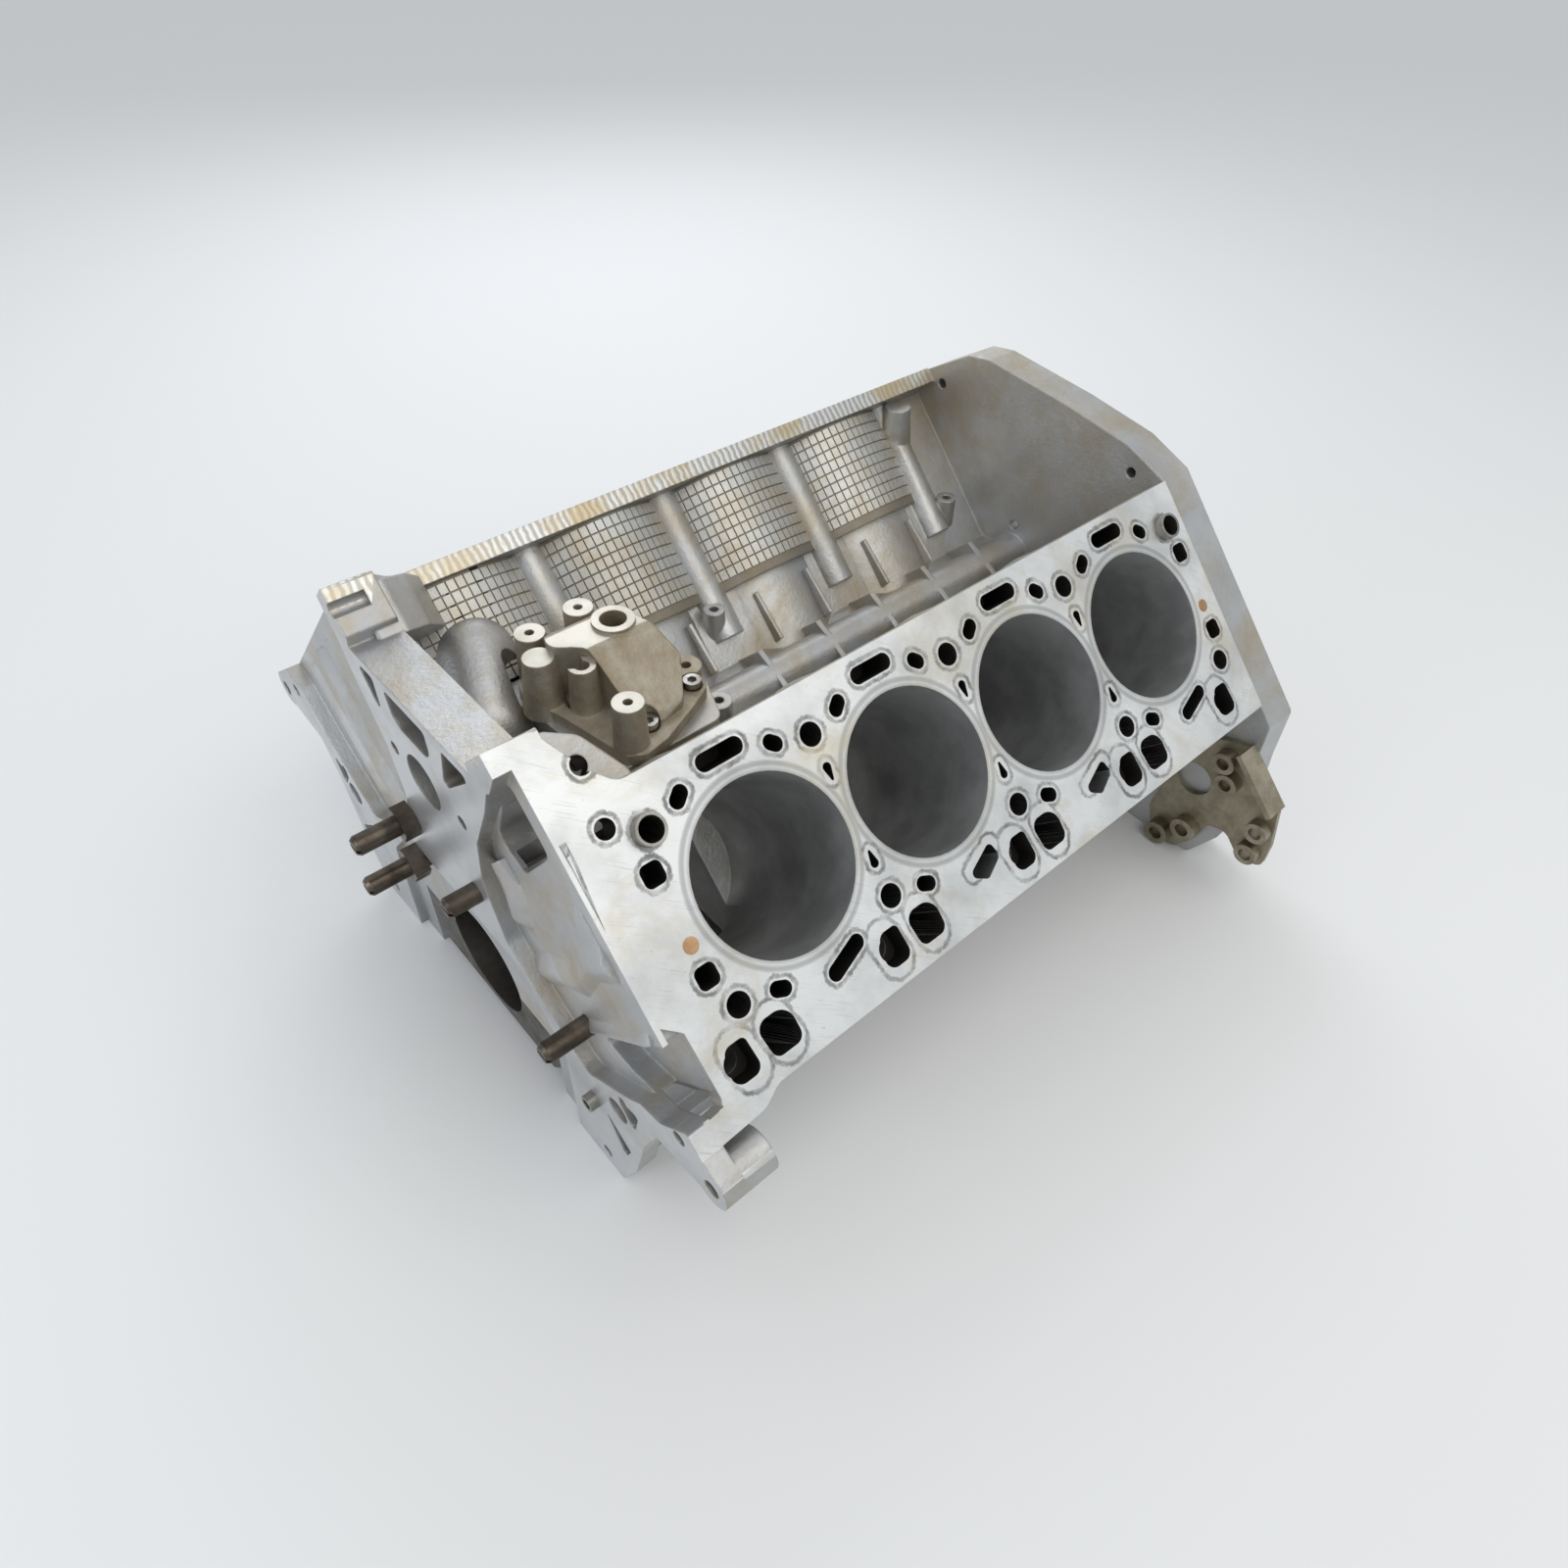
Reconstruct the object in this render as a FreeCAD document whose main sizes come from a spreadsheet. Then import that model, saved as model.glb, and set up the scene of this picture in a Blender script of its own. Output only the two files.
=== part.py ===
# Bare V8 engine block with its main bearing caps, dowels, plugs and brackets.
# X runs along the crankshaft from the timing end to the flywheel end, Z is up.
# The origin is where the crankshaft axis meets the front cover face.
# Each bank is built upright on the crankshaft axis and then tilted about it:
# there X is along the crank, Y across the deck and Z the distance from the axis.
import FreeCAD
import Part

import math
import os
import re

SIZES = [
    # cylinders and decks
    ("bore_diameter", 89.0), ("bore_pitch", 98.0), ("bank_tilt", 45.0), ("bank_offset", 20.0),
    ("deck_height", 213.0), ("deck_inboard", 70.0), ("deck_outboard", 86.5), ("deck_slab", 10.0),
    ("first_bore", 98.5), ("rear_land", 68.5), ("bore_foot", 76.0), ("jacket_radius", 66.0),
    ("jacket_inboard", 50.0), ("jacket_outboard", 72.0), ("jacket_foot", 132.0),
    ("bank_foot", 80.0),
    # deck openings
    ("head_bolt_diameter", 12.5), ("head_bolt_row", 45.0), ("head_bolt_depth", 70.0),
    ("coolant_depth", 26.0), ("drain_depth", 70.0), ("drain_wall_outboard", 82.0),
    ("pocket_depth", 14.0), ("oil_hole_diameter", 13.5),
    # crankcase
    ("main_bore_diameter", 75.0), ("bulkhead_width", 24.0), ("pan_rail_drop", 58.0),
    ("skirt_half_width", 128.0), ("skirt_wall", 15.0), ("rail_half_width", 137.0),
    ("rail_height", 11.0), ("pan_bolt_row", 128.5), ("pan_bolt_diameter", 6.8), ("pan_bolt_margin", 24.0),
    ("mount_spacing_along", 60.0), ("mount_spacing_up", 36.0), ("mount_height", 4.0), ("valley_floor", 98.0), ("bay_half_height", 80.0),
    ("gallery_radius", 14.0), ("gallery_bore_diameter", 16.0),
    # ends
    ("front_flange", 12.0), ("front_recess", 5.0), ("rear_flange", 26.0), ("rear_plate", 11.0),
    ("rear_rim", 20.0), ("bell_radius", 227.0), ("front_bulkhead", 52.0),
    # caps and fasteners
    ("cap_half_width", 74.0), ("cap_height", 42.0), ("main_bolt_row", 50.0),
    ("main_bolt_diameter", 11.0), ("main_bolt_grip", 45.0), ("main_bolt_head", 10.0),
    ("side_bolt_diameter", 8.0), ("side_bolt_drop", 24.0), ("side_bolt_head", 7.0), ("fit_gap", 0.1),
    # pins, dowels and plugs
    ("guide_pin_diameter", 12.0), ("guide_pin_long", 35.0), ("guide_pin_short", 19.0),
    ("guide_pin_seat", 11.0), ("pin_collar", 9.5), ("pin_collar_flats", 19.0),
    ("dowel_outer_diameter", 15.5), ("dowel_inner_diameter", 12.5),
    ("dowel_length", 14.0), ("dowel_proud", 6.0), ("deck_plug_diameter", 8.0), ("deck_plug_depth", 5.0),
    ("core_plug_diameter", 32.0), ("core_plug_depth", 6.0), ("core_plug_wall", 3.0),
    ("cover_dowel_diameter", 10.0), ("cover_dowel_bore", 6.5), ("cover_dowel_seat", 9.0),
    ("cover_dowel_proud", 5.5), ("bell_dowel_diameter", 12.0), ("bell_dowel_seat", 14.0),
    ("bell_dowel_proud", 8.0), ("gallery_plug_length", 10.0),
    # valley housing
    ("housing_seat", 143.0), ("housing_plate", 7.0), ("post_top", 178.0), ("port_top", 185.0),
    ("port_diameter", 15.0), ("housing_screw_diameter", 6.0), ("housing_screw_head", 6.0),
    # rear bracket
    ("bracket_plate", 4.0), ("bracket_bolt_diameter", 9.0), ("bracket_nut_height", 8.0),
]

doc = FreeCAD.newDocument("engine_block")
sheet = doc.addObject("Spreadsheet::Sheet", "Sizes")
for row, (alias, value) in enumerate(SIZES, 1):
    sheet.set(f"A{row}", alias.replace("_", " "))
    sheet.set(f"B{row}", str(value))
    sheet.setAlias(f"B{row}", alias)
doc.recompute()

ALIAS = re.compile(r"\b(" + "|".join(alias for alias, _ in SIZES) + r")\b")
ALONG_X = FreeCAD.Rotation(FreeCAD.Vector(1, 1, 1), 120)
NEAR, FAR = -1, 1
BANKS = {"near": NEAR, "far": FAR}
CYLINDERS = range(4)
MAINS = range(5)


def size(alias):
    """The number in the sheet's cell of this name."""
    return float(sheet.get(alias))


def bind(obj, **formulas):
    """Ties properties of an object to formulas of the sheet's names."""
    for name, formula in formulas.items():
        obj.setExpression(name.replace("__", "."), ALIAS.sub(r"Sizes.\1", str(formula)))
    return obj


def at(obj, x, y, z):
    """Ties an object's position to three formulas."""
    return bind(obj, Placement__Base__x=x, Placement__Base__y=y, Placement__Base__z=z)


def box(name, corner, extent):
    obj = bind(doc.addObject("Part::Box", name), Length=extent[0], Width=extent[1], Height=extent[2])
    return at(obj, *corner)


def cylinder(name, foot, radius, height, turn=FreeCAD.Rotation()):
    obj = doc.addObject("Part::Cylinder", name)
    obj.Placement = FreeCAD.Placement(FreeCAD.Vector(), turn)
    return at(bind(obj, Radius=radius, Height=height), *foot)


def cone(name, foot, radius, tip_radius, height, turn=FreeCAD.Rotation()):
    obj = doc.addObject("Part::Cone", name)
    obj.Placement = FreeCAD.Placement(FreeCAD.Vector(), turn)
    return at(bind(obj, Radius1=radius, Radius2=tip_radius, Height=height), *foot)


def fuse(name, shapes):
    obj = doc.addObject("Part::MultiFuse", name)
    obj.Shapes = shapes
    return obj


def cut(name, base, tool):
    obj = doc.addObject("Part::Cut", name)
    obj.Base = base
    obj.Tool = tool
    return obj


def common(name, first, second):
    obj = doc.addObject("Part::MultiCommon", name)
    obj.Shapes = [first, second]
    return obj


def tilt(obj, side):
    """Leans a bank that was built upright to its own side of the crankshaft."""
    obj.Placement = FreeCAD.Placement(FreeCAD.Vector(), FreeCAD.Rotation(FreeCAD.Vector(-side, 0, 0), 45))
    return bind(obj, Placement__Rotation__Angle="bank_tilt")


def rounded(points, radii):
    """Lines and tangent arcs round a closed outline; each corner has its own radius."""
    count = len(points)
    corners = []
    for i, (x, y) in enumerate(points):
        here = FreeCAD.Vector(x, y, 0)
        before = FreeCAD.Vector(*points[i - 1], 0) - here
        after = FreeCAD.Vector(*points[(i + 1) % count], 0) - here
        radius = radii[i] if isinstance(radii, (list, tuple)) else radii
        half = before.getAngle(after) / 2
        if radius <= 0 or half > math.radians(89):
            corners.append((here, None, here))
            continue
        reach = min(radius / math.tan(half), 0.49 * before.Length, 0.49 * after.Length)
        start = here + before.normalize() * reach
        end = here + after.normalize() * reach
        inward = (before + after).normalize()
        true_radius = reach * math.tan(half)
        middle = here + inward * (true_radius / math.sin(half) - true_radius)
        corners.append((start, middle, end))
    edges = []
    for i, (start, middle, end) in enumerate(corners):
        if middle is not None:
            edges.append(Part.Arc(start, middle, end))
        following = corners[(i + 1) % count][0]
        if end.distanceToPoint(following) > 1e-6:
            edges.append(Part.LineSegment(end, following))
    return edges


def prism(name, edges, start, depth, turn=FreeCAD.Rotation(), axis="z"):
    """A closed sketch of these edges, pushed from start by depth along its normal."""
    sketch = doc.addObject("Sketcher::SketchObject", name + "_outline")
    sketch.Placement = FreeCAD.Placement(FreeCAD.Vector(), turn)
    for edge in edges:
        sketch.addGeometry(edge, False)
    bind(sketch, **{f"Placement__Base__{axis}": start})
    solid = doc.addObject("Part::Extrusion", name)
    solid.Base = sketch
    solid.DirMode = "Normal"
    solid.Solid = True
    return bind(solid, LengthFwd=depth)


def section(name, points, start, depth, radii=0.0):
    """A prism along the crankshaft from an outline in Y and Z."""
    return prism(name, rounded(points, radii), start, depth, ALONG_X, "x")


def slot_edges(x, y, length, width, angle):
    """A slot's outline: two straight sides and two round ends."""
    turn = FreeCAD.Rotation(FreeCAD.Vector(0, 0, 1), angle)
    centre = FreeCAD.Vector(x, y, 0)
    reach = (length - width) / 2

    def place(px, py):
        return centre + turn.multVec(FreeCAD.Vector(px, py, 0))

    half = width / 2
    return [
        Part.LineSegment(place(-reach, -half), place(reach, -half)),
        Part.Arc(place(reach, -half), place(reach + half, 0), place(reach, half)),
        Part.LineSegment(place(reach, half), place(-reach, half)),
        Part.Arc(place(-reach, half), place(-reach - half, 0), place(-reach, -half)),
    ]


def lean(side, across, height):
    """Y and Z of a point that lies across the deck and height from the crank axis."""
    angle = math.radians(size("bank_tilt"))
    y = height * math.sin(angle) + across * math.cos(angle)
    z = height * math.cos(angle) - across * math.sin(angle)
    return side * y, z


def mirrored(points, side):
    return [(side * y, z) for y, z in points]


def first_bore(side):
    return "first_bore" if side == NEAR else "(first_bore - bank_offset)"


def first_bore_station(side):
    return size("first_bore") - (size("bank_offset") if side == FAR else 0.0)


def main_station(i):
    """Middle of main bearing i, half a pitch from the cylinders of the two banks."""
    return f"(first_bore - bank_offset / 2 + bore_pitch * {i - 0.5})"


def outward(side):
    """A cylinder's turn that points it along Y, away from the middle of the block."""
    return FreeCAD.Rotation(FreeCAD.Vector(1, 0, 0), -90 * side)


CORE_PLUG_HEIGHT = "(bank_foot + 68)"
DECK_LENGTH = "(first_bore + 3 * bore_pitch + rear_land)"
BLOCK_LENGTH = f"({DECK_LENGTH} + rear_flange)"


# ---------------------------------------------------------------- the two banks

def deck_outline(side):
    """The deck with its front corner lugs and the notch over the chain case."""
    inboard, outboard = size("deck_inboard"), size("deck_outboard")
    rear = size("first_bore") + 3 * size("bore_pitch") + size("rear_land")
    land = 20.5 if side == NEAR else 9.0
    outline = [
        (0, -inboard - 37), (25, -inboard - 36.5), (28, -inboard - 29), (39, -inboard - 10),
        (48, -inboard), (rear, -inboard), (rear, outboard), (49, outboard),
        (38, outboard + 6), (0, outboard + 7.5), (0, outboard - 5), (land + 1, outboard - 7),
        (land, 41), (8.5, 30), (8, 2), (13.5, -52), (13.5, -inboard - 26), (0, -inboard - 26),
    ]
    radii = [0, 5, 10, 10, 10, 0, 0, 12, 12, 0, 0, 5, 4, 4, 20, 8, 3, 0]
    return rounded([(x, side * v) for x, v in outline], radii)


def bank_body(tag, side):
    """One bank: deck slab, water jacket with a bulge round each cylinder, bolt columns."""
    bore = first_bore(side)
    parts = [prism(f"{tag}_deck", deck_outline(side), "deck_height - deck_slab", "deck_slab")]
    low = "-jacket_inboard" if side == FAR else "-jacket_outboard"
    parts.append(box(f"{tag}_jacket", ("front_flange", low, "bank_foot"),
                     (f"{DECK_LENGTH} - front_flange", "jacket_inboard + jacket_outboard",
                      "deck_height - deck_slab / 2 - bank_foot")))
    for i in CYLINDERS:
        station = f"{bore} + bore_pitch * {i}"
        parts.append(cylinder(f"{tag}_bulge_{i + 1}", (station, 0, "jacket_foot"), "jacket_radius",
                              "deck_height - deck_slab / 2 - jacket_foot"))
    for i in MAINS:
        station = f"{bore} + bore_pitch * {i - 0.5}"
        parts.append(cylinder(f"{tag}_column_{i + 1}", (station, f"{-side} * head_bolt_row", "bank_foot + 25"),
                              "head_bolt_diameter", "deck_height - deck_slab / 2 - bank_foot - 25"))
        near_drain = f"{station} - 22.5 - fit_gap"
        reach = 48 if i < 4 else 24
        if i == 0 and side == FAR:
            continue
        across = "jacket_outboard - 5" if side == FAR else "-drain_wall_outboard"
        parts.append(box(f"{tag}_drain_tower_{i + 1}", (near_drain, across, "bank_foot + 20"),
                         (reach, "drain_wall_outboard - jacket_outboard + 5",
                          "deck_height - deck_slab / 2 - bank_foot - 20")))
    return tilt(fuse(f"{tag}_bank", parts), side)


def deck_openings(tag, side):
    """All that is cut from the deck: bores, bolt holes, coolant slots and oil drains."""
    bore = first_bore(side)
    start = first_bore_station(side)
    pitch = size("bore_pitch")
    cuts = []

    def opening(name, edges, depth):
        cuts.append(prism(f"{tag}_{name}", edges, f"deck_height - {depth}", f"{depth} + 1"))

    def slot(name, u, v, length, width, angle, depth="coolant_depth"):
        opening(name, slot_edges(start + u, side * v, length, width, side * angle), depth)

    def pocket(name, points, radius, depth):
        opening(name, rounded([(start + u, side * v) for u, v in points], radius), depth)

    for i in CYLINDERS:
        u = pitch * i
        cuts.append(cylinder(f"{tag}_bore_{i + 1}", (f"{bore} + bore_pitch * {i}", 0, "bore_foot"),
                             "bore_diameter / 2", "deck_height - bore_foot + 1"))
        slot(f"inboard_slot_{i + 1}", u, -58.5, 27, 9, 0)
        slot(f"lead_slot_{i + 1}", u - 28, -50.7, 12, 8, -40)
        slot(f"trail_slot_{i + 1}", u + 28, -50.5, 11, 8, 40)
        slot(f"outboard_slot_{i + 1}", u - 27, 50.6, 12, 8, 25)
        if i in (1, 2):
            pocket(f"sloped_pocket_{i + 1}", [(u - 2, 62), (u + 20, 52), (u + 23, 62), (u + 10, 69)], 3, "coolant_depth")
        else:
            slot(f"outboard_long_{i + 1}", u + 11, 57.2, 27, 8.5, -20)
    front_x = 32.75 if side == NEAR else 22.0
    cuts.append(cylinder(f"{tag}_corner_hole", (front_x, f"{side} * -54.5", "deck_height - 18"), "5", "19"))
    cuts.append(cylinder(f"{tag}_arm_hole", (front_x + 4, f"{side} * -84", "deck_height - 22"), "5", "24"))
    for i in MAINS:
        station = f"{bore} + bore_pitch * {i - 0.5}"
        u = pitch * (i - 0.5)
        for row, v in (("inboard", -side), ("outboard", side)):
            cuts.append(cylinder(f"{tag}_head_bolt_{row}_{i + 1}", (station, f"{v} * head_bolt_row", "deck_height - head_bolt_depth"),
                                 "head_bolt_diameter / 2", "head_bolt_depth + 1"))
        if i in (1, 2, 3):
            for name, v, tip in (("inner", -24.5, 7), ("outer", 24.0, -7)):
                pocket(f"bridge_{name}_{i}", [(u - 3.2, v - tip * 0.7), (u + 3.2, v - tip * 0.7), (u, v + tip)],
                       [2.6, 2.6, 0.8], "coolant_depth")
        if i < 4:
            pocket(f"drain_{i + 1}", [(u + 1.5, 57.5), (u + 21.5, 57.5), (u + 21.5, 77), (u + 4, 77)], [6, 9, 5, 5], "drain_depth")
        if i > 0 or side == NEAR:
            pocket(f"feed_pocket_{i + 1}", [(u - 17, 58), (u - 5, 58), (u - 3.5, 77), (u - 21, 77)], [5, 3, 5, 6], "pocket_depth")
            cuts.append(cylinder(f"{tag}_feed_{i + 1}", (f"{station} - 14", f"{side} * 67", "deck_height - drain_depth"),
                                 "oil_hole_diameter / 2", "drain_depth"))
    for name, u in (("front", -56.0), ("rear", 3 * pitch + 54.5)):
        for row, v in (("inner", -26.5), ("outer", 25.75)):
            pocket(f"{name}_window_{row}", [(u - 5.7, v - 5.7), (u + 5.7, v - 5.7), (u + 5.7, v + 5.7), (u - 5.7, v + 5.7)],
                   3.4, "coolant_depth")
        cuts.append(cylinder(f"{tag}_{name}_plug_seat", (start + u, side * 9.8, "deck_height - deck_plug_depth"),
                             "deck_plug_diameter / 2", "deck_plug_depth + 1"))
    for i, end in ((0, "front"), (4, "rear")):
        foot = (f"{bore} + bore_pitch * {i - 0.5}", "head_bolt_row", "deck_height + dowel_proud - dowel_length")
        cuts.append(cylinder(f"{tag}_{end}_dowel_seat", foot, "dowel_outer_diameter / 2", "dowel_length"))
    for i in CYLINDERS:
        foot = (f"{bore} + bore_pitch * {i} + 1.5", f"{side} * (jacket_outboard - core_plug_depth)", CORE_PLUG_HEIGHT)
        cuts.append(cylinder(f"{tag}_core_seat_{i + 1}", foot, "core_plug_diameter / 2", "core_plug_depth + 1", outward(side)))
    return tilt(fuse(f"{tag}_deck_openings", cuts), side)


# ---------------------------------------------------------------- crankcase and ends

def crankcase():
    """The skirt, the pan rail and the valley floor with its oil gallery."""
    half, drop, floor = size("skirt_half_width"), size("pan_rail_drop"), size("valley_floor")
    outline = [(-half, -drop), (half, -drop), (half, 26), (62, floor - 4), (38, floor), (-38, floor), (-62, floor - 4), (-half, 26)]
    rail = size("rail_half_width")
    drain = size("rail_height") - drop
    parts = [
        section("skirt", outline, "front_flange / 2", f"{DECK_LENGTH} - front_flange / 2"),
        section("pan_rail", [(-rail, -drop), (rail, -drop), (rail, drain), (-rail, drain)],
                "front_flange / 2", f"{DECK_LENGTH} - front_flange / 2"),
        cylinder("gallery_tube", ("front_flange", 0, "valley_floor"), "gallery_radius",
                 f"{DECK_LENGTH} - front_flange", ALONG_X),
        cylinder("side_gallery", ("front_bulkhead", -24, "valley_floor - 2"), "gallery_radius / 2",
                 f"{DECK_LENGTH} - front_bulkhead", ALONG_X),
    ]
    for i in range(7):
        station = f"front_bulkhead + bore_pitch / 2 * {i + 1.5}"
        parts.append(section(f"gallery_web_{i + 1}",
                             [(-30, floor - 2), (30, floor - 2), (9, floor + 19), (-9, floor + 11)], station, "4"))
    return parts


def mount_bosses(radius, first, length):
    """Four round bosses, or their holes, on each side wall for the engine supports."""
    shapes = []
    for side in (NEAR, FAR):
        for i, j in ((-1, -1), (-1, 1), (1, -1), (1, 1)):
            foot = (f"{main_station(2)} + {i} * mount_spacing_along / 2", f"{side} * ({first})",
                    f"mount_height + {j} * mount_spacing_up / 2")
            shapes.append(cylinder(f"support_{int(radius * 2)}_{side + 2}{i + 2}{j + 2}", foot, radius, length, outward(side)))
    return shapes


def rail_holes():
    """Threaded holes for the oil pan along both rails."""
    holes = []
    for side in (NEAR, FAR):
        for i in range(5):
            foot = (f"pan_bolt_margin + ({DECK_LENGTH} - 2 * pan_bolt_margin) / 4 * {i}", f"{side} * pan_bolt_row", "-pan_rail_drop - 1")
            holes.append(cylinder(f"pan_hole_{side + 2}{i}", foot, "pan_bolt_diameter / 2", "20"))
    return holes


def crank_bays():
    """The four crank chambers between the bulkheads, open towards the oil pan."""
    wall = size("skirt_half_width") - size("skirt_wall")
    drop, top = size("pan_rail_drop"), size("bay_half_height")
    outline = [(-wall, -drop - 1), (wall, -drop - 1), (wall, 18), (0.7 * wall, 52), (45, top), (-45, top), (-0.7 * wall, 52), (-wall, 18)]
    bays = []
    for i in CYLINDERS:
        first = "front_bulkhead" if i == 0 else f"{main_station(i)} + bulkhead_width / 2"
        last = f"{main_station(i + 1)} - bulkhead_width / 2"
        bays.append(section(f"crank_bay_{i + 1}", outline, first, f"{last} - ({first})", [0, 0, 12, 12, 20, 20, 12, 12]))
    return bays


def cap_span(i):
    """Where cap i starts along the crankshaft and how wide it is."""
    if i == 0:
        return "front_recess", "(front_bulkhead - front_recess)"
    if i == 4:
        start = f"({main_station(4)} - bulkhead_width / 2)"
        return start, f"({DECK_LENGTH} - {start})"
    return f"({main_station(i)} - bulkhead_width / 2)", "bulkhead_width"


def front_end():
    """The front cover flange, both sides of the chain case and its lugs."""
    top = size("valley_floor") + 103
    drop = size("pan_rail_drop")
    half = [lean(FAR, -size("deck_inboard") - 37, size("deck_height")), lean(FAR, size("deck_outboard") + 7.5, size("deck_height")),
            (232, 76), (230, 60), (181, 53), (168, 24), (156, -24), (140, -drop), (0, -drop)]
    outline = [(0, top)] + [(58, top)] + half[:-1]
    outline += [(-y, z) for y, z in reversed(outline[1:])]
    parts = [section("front_face", outline, "0", "front_flange", 3)]
    parts.append(section("front_wall", [(-62, 60), (62, 60), (62, top), (-62, top)], "0", "front_flange * 2.3"))
    parts.append(cylinder("lower_pin_boss", (0, -112, 59), 11, "front_flange", ALONG_X))
    for side in (NEAR, FAR):
        tag = "near" if side == NEAR else "far"
        parts.append(cylinder(f"{tag}_front_lug", (0, 222 * side, 68), 12, 30, ALONG_X))
        arm = [(30, side * -104), (44, side * -96), (58, side * -72), (58, side * -48), (14, side * -48), (14, side * -104)]
        arm_solid = prism(f"{tag}_corner_arm", rounded(arm, [4, 10, 14, 2, 2, 2]), "deck_height - 34", "29")
        parts.append(tilt(arm_solid, side))
        parts.append(section(f"{tag}_front_corner",
                             [lean(side, -size("deck_inboard") - 37, size("deck_height")),
                              lean(side, -size("deck_inboard") - 37, size("deck_height") - 26),
                              lean(side, -size("jacket_inboard"), size("deck_height") - 60),
                              lean(side, -size("jacket_inboard"), size("deck_height"))], "0", "27", 2))
    return parts


def front_cuts():
    """Chain case pockets, the windows of the middle column and the bolt holes."""
    cuts = []
    for side in (NEAR, FAR):
        tag = "near" if side == NEAR else "far"
        notch_in = lean(FAR, -size("deck_inboard") - 26, size("deck_height") + 2)
        notch_out = lean(FAR, size("deck_outboard") - 5, size("deck_height") + 2)
        case = [notch_in, (46, 146), (40, 112), (52, 74), (88, 48), (119, 30), (160, 60), (190, 88), notch_out]
        cuts.append(section(f"{tag}_chain_case", mirrored(case, side), "-1", "front_flange - 2", [0, 6, 12, 10, 20, 10, 20, 10, 0]))
        slab = size("deck_height") - size("deck_slab") - 3
        deep = [lean(FAR, -94, slab), (52, 150), (74, 142), lean(FAR, -54, slab)]
        cuts.append(section(f"{tag}_chain_pocket", mirrored(deep, side), "-1", 42 if side == NEAR else 30, [6, 8, 8, 6]))
        window = [(57, 196), (31, 196), (22, 164)] if side == NEAR else [(52, 196), (36, 196), (36, 168)]
        cuts.append(section(f"{tag}_column_window", mirrored(window, side), "-1", "front_flange * 1.6", 3))
        wide = [(166, 50), (147, 44), (160, 26)]
        cuts.append(section(f"{tag}_flange_window", mirrored(wide, side), "-1", "front_flange + 2", 3))
        slim = [(131, 12), (140, 4), (153, -6), (147, -20)]
        cuts.append(section(f"{tag}_flange_slit", mirrored(slim, side), "-1", "front_flange + 2", 2))
        for k, (y, z, r, deep) in enumerate([(223, 68, 5, 24), (200, 81, 4.2, 14), (146, 29, 8, 14), (152, 46, 3.2, 14),
                                             (126, -46, 4, 20), (34, 151, 4, 20), (67, 218, 4, 20)]):
            cuts.append(cylinder(f"{tag}_cover_hole_{k + 1}", (-1, side * y, z), r, deep, ALONG_X))
    top = size("deck_height") + 2
    step = [lean(NEAR, v, h) for v, h in ((41, top), (79.5, top), (79.5, 182), (60, 150), (44, 134), (41, 150))]
    cuts.append(section("near_case_step", step, "-1", "21.5", [0, 0, 12, 20, 6, 20]))
    arch = [(-15, 176), (22, 176), (25, 196), (-15, 196)]
    cuts.append(section("column_arch", arch, "-1", "front_flange * 1.6", [9, 9, 3, 3]))
    cuts.append(cylinder("pump_bore", (-1, 5, 148), 16, "front_flange * 1.8", ALONG_X))
    around_bore = [(-96, -size("pan_rail_drop") - 1), (96, -size("pan_rail_drop") - 1), (96, 20), (60, 62), (-60, 62), (-96, 20)]
    cuts.append(section("bore_recess", around_bore, "-1", "front_recess + 1", [0, 0, 14, 14, 14, 14]))
    return cuts


def bell_outline(inset=0.0):
    """The flywheel end's outline: a disc clipped by the decks and a low ridge on top."""
    radius, drop = size("bell_radius") - inset, size("pan_rail_drop") - inset
    deck = size("deck_height") - 1 - inset
    points = []
    for side in (FAR, NEAR):
        ring = [lean(side, across, deck) for across in (-size("deck_inboard") + inset / 2, size("deck_outboard") + 16)]
        low = [(side * math.sqrt(radius**2 - z**2), z) for z in (40.0, 0.0)]
        foot = [(side * (radius - 6), -drop / 2), (side * (radius - 22 - inset / 2), -drop)]
        points.append(ring + low + foot)
    ridge = [(-70, 211 - inset), (-20, 218 - inset), (48, 224 - inset), (66, 221 - inset)]
    return points[0] + points[1][::-1] + ridge


def rear_end():
    """The flywheel end: a plate inside a raised rim."""
    return section("bell_flange", bell_outline(), DECK_LENGTH, "rear_flange", 6)


BELL_BOLTS = [(side * y, z) for side in (NEAR, FAR) for y, z in ((205, 26), (205, -44), (186, 92), (58, 204))]


def rear_cuts():
    recess = section("bell_recess_blank", bell_outline(size("rear_rim")), f"{DECK_LENGTH} + rear_plate", "rear_flange", 8)
    bosses = [cylinder(f"bell_boss_{k + 1}", (DECK_LENGTH, y, z), 13, "rear_flange * 2", ALONG_X)
              for k, (y, z) in enumerate(BELL_BOLTS)]
    cuts = [cut("bell_recess", recess, fuse("bell_bosses", bosses))]
    for k, (y, z) in enumerate([(86, 194), (2, 119), (-77, 195)]):
        cuts.append(cylinder(f"rear_drain_{k + 1}", (f"{DECK_LENGTH} - 1", y, z), 3.5, "rear_flange", ALONG_X))
    for k, (y, z) in enumerate(BELL_BOLTS):
        cuts.append(cylinder(f"bell_bolt_{k + 1}", (f"{BLOCK_LENGTH} - 24", y, z), 5.2, 25, ALONG_X))
    return cuts


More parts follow.
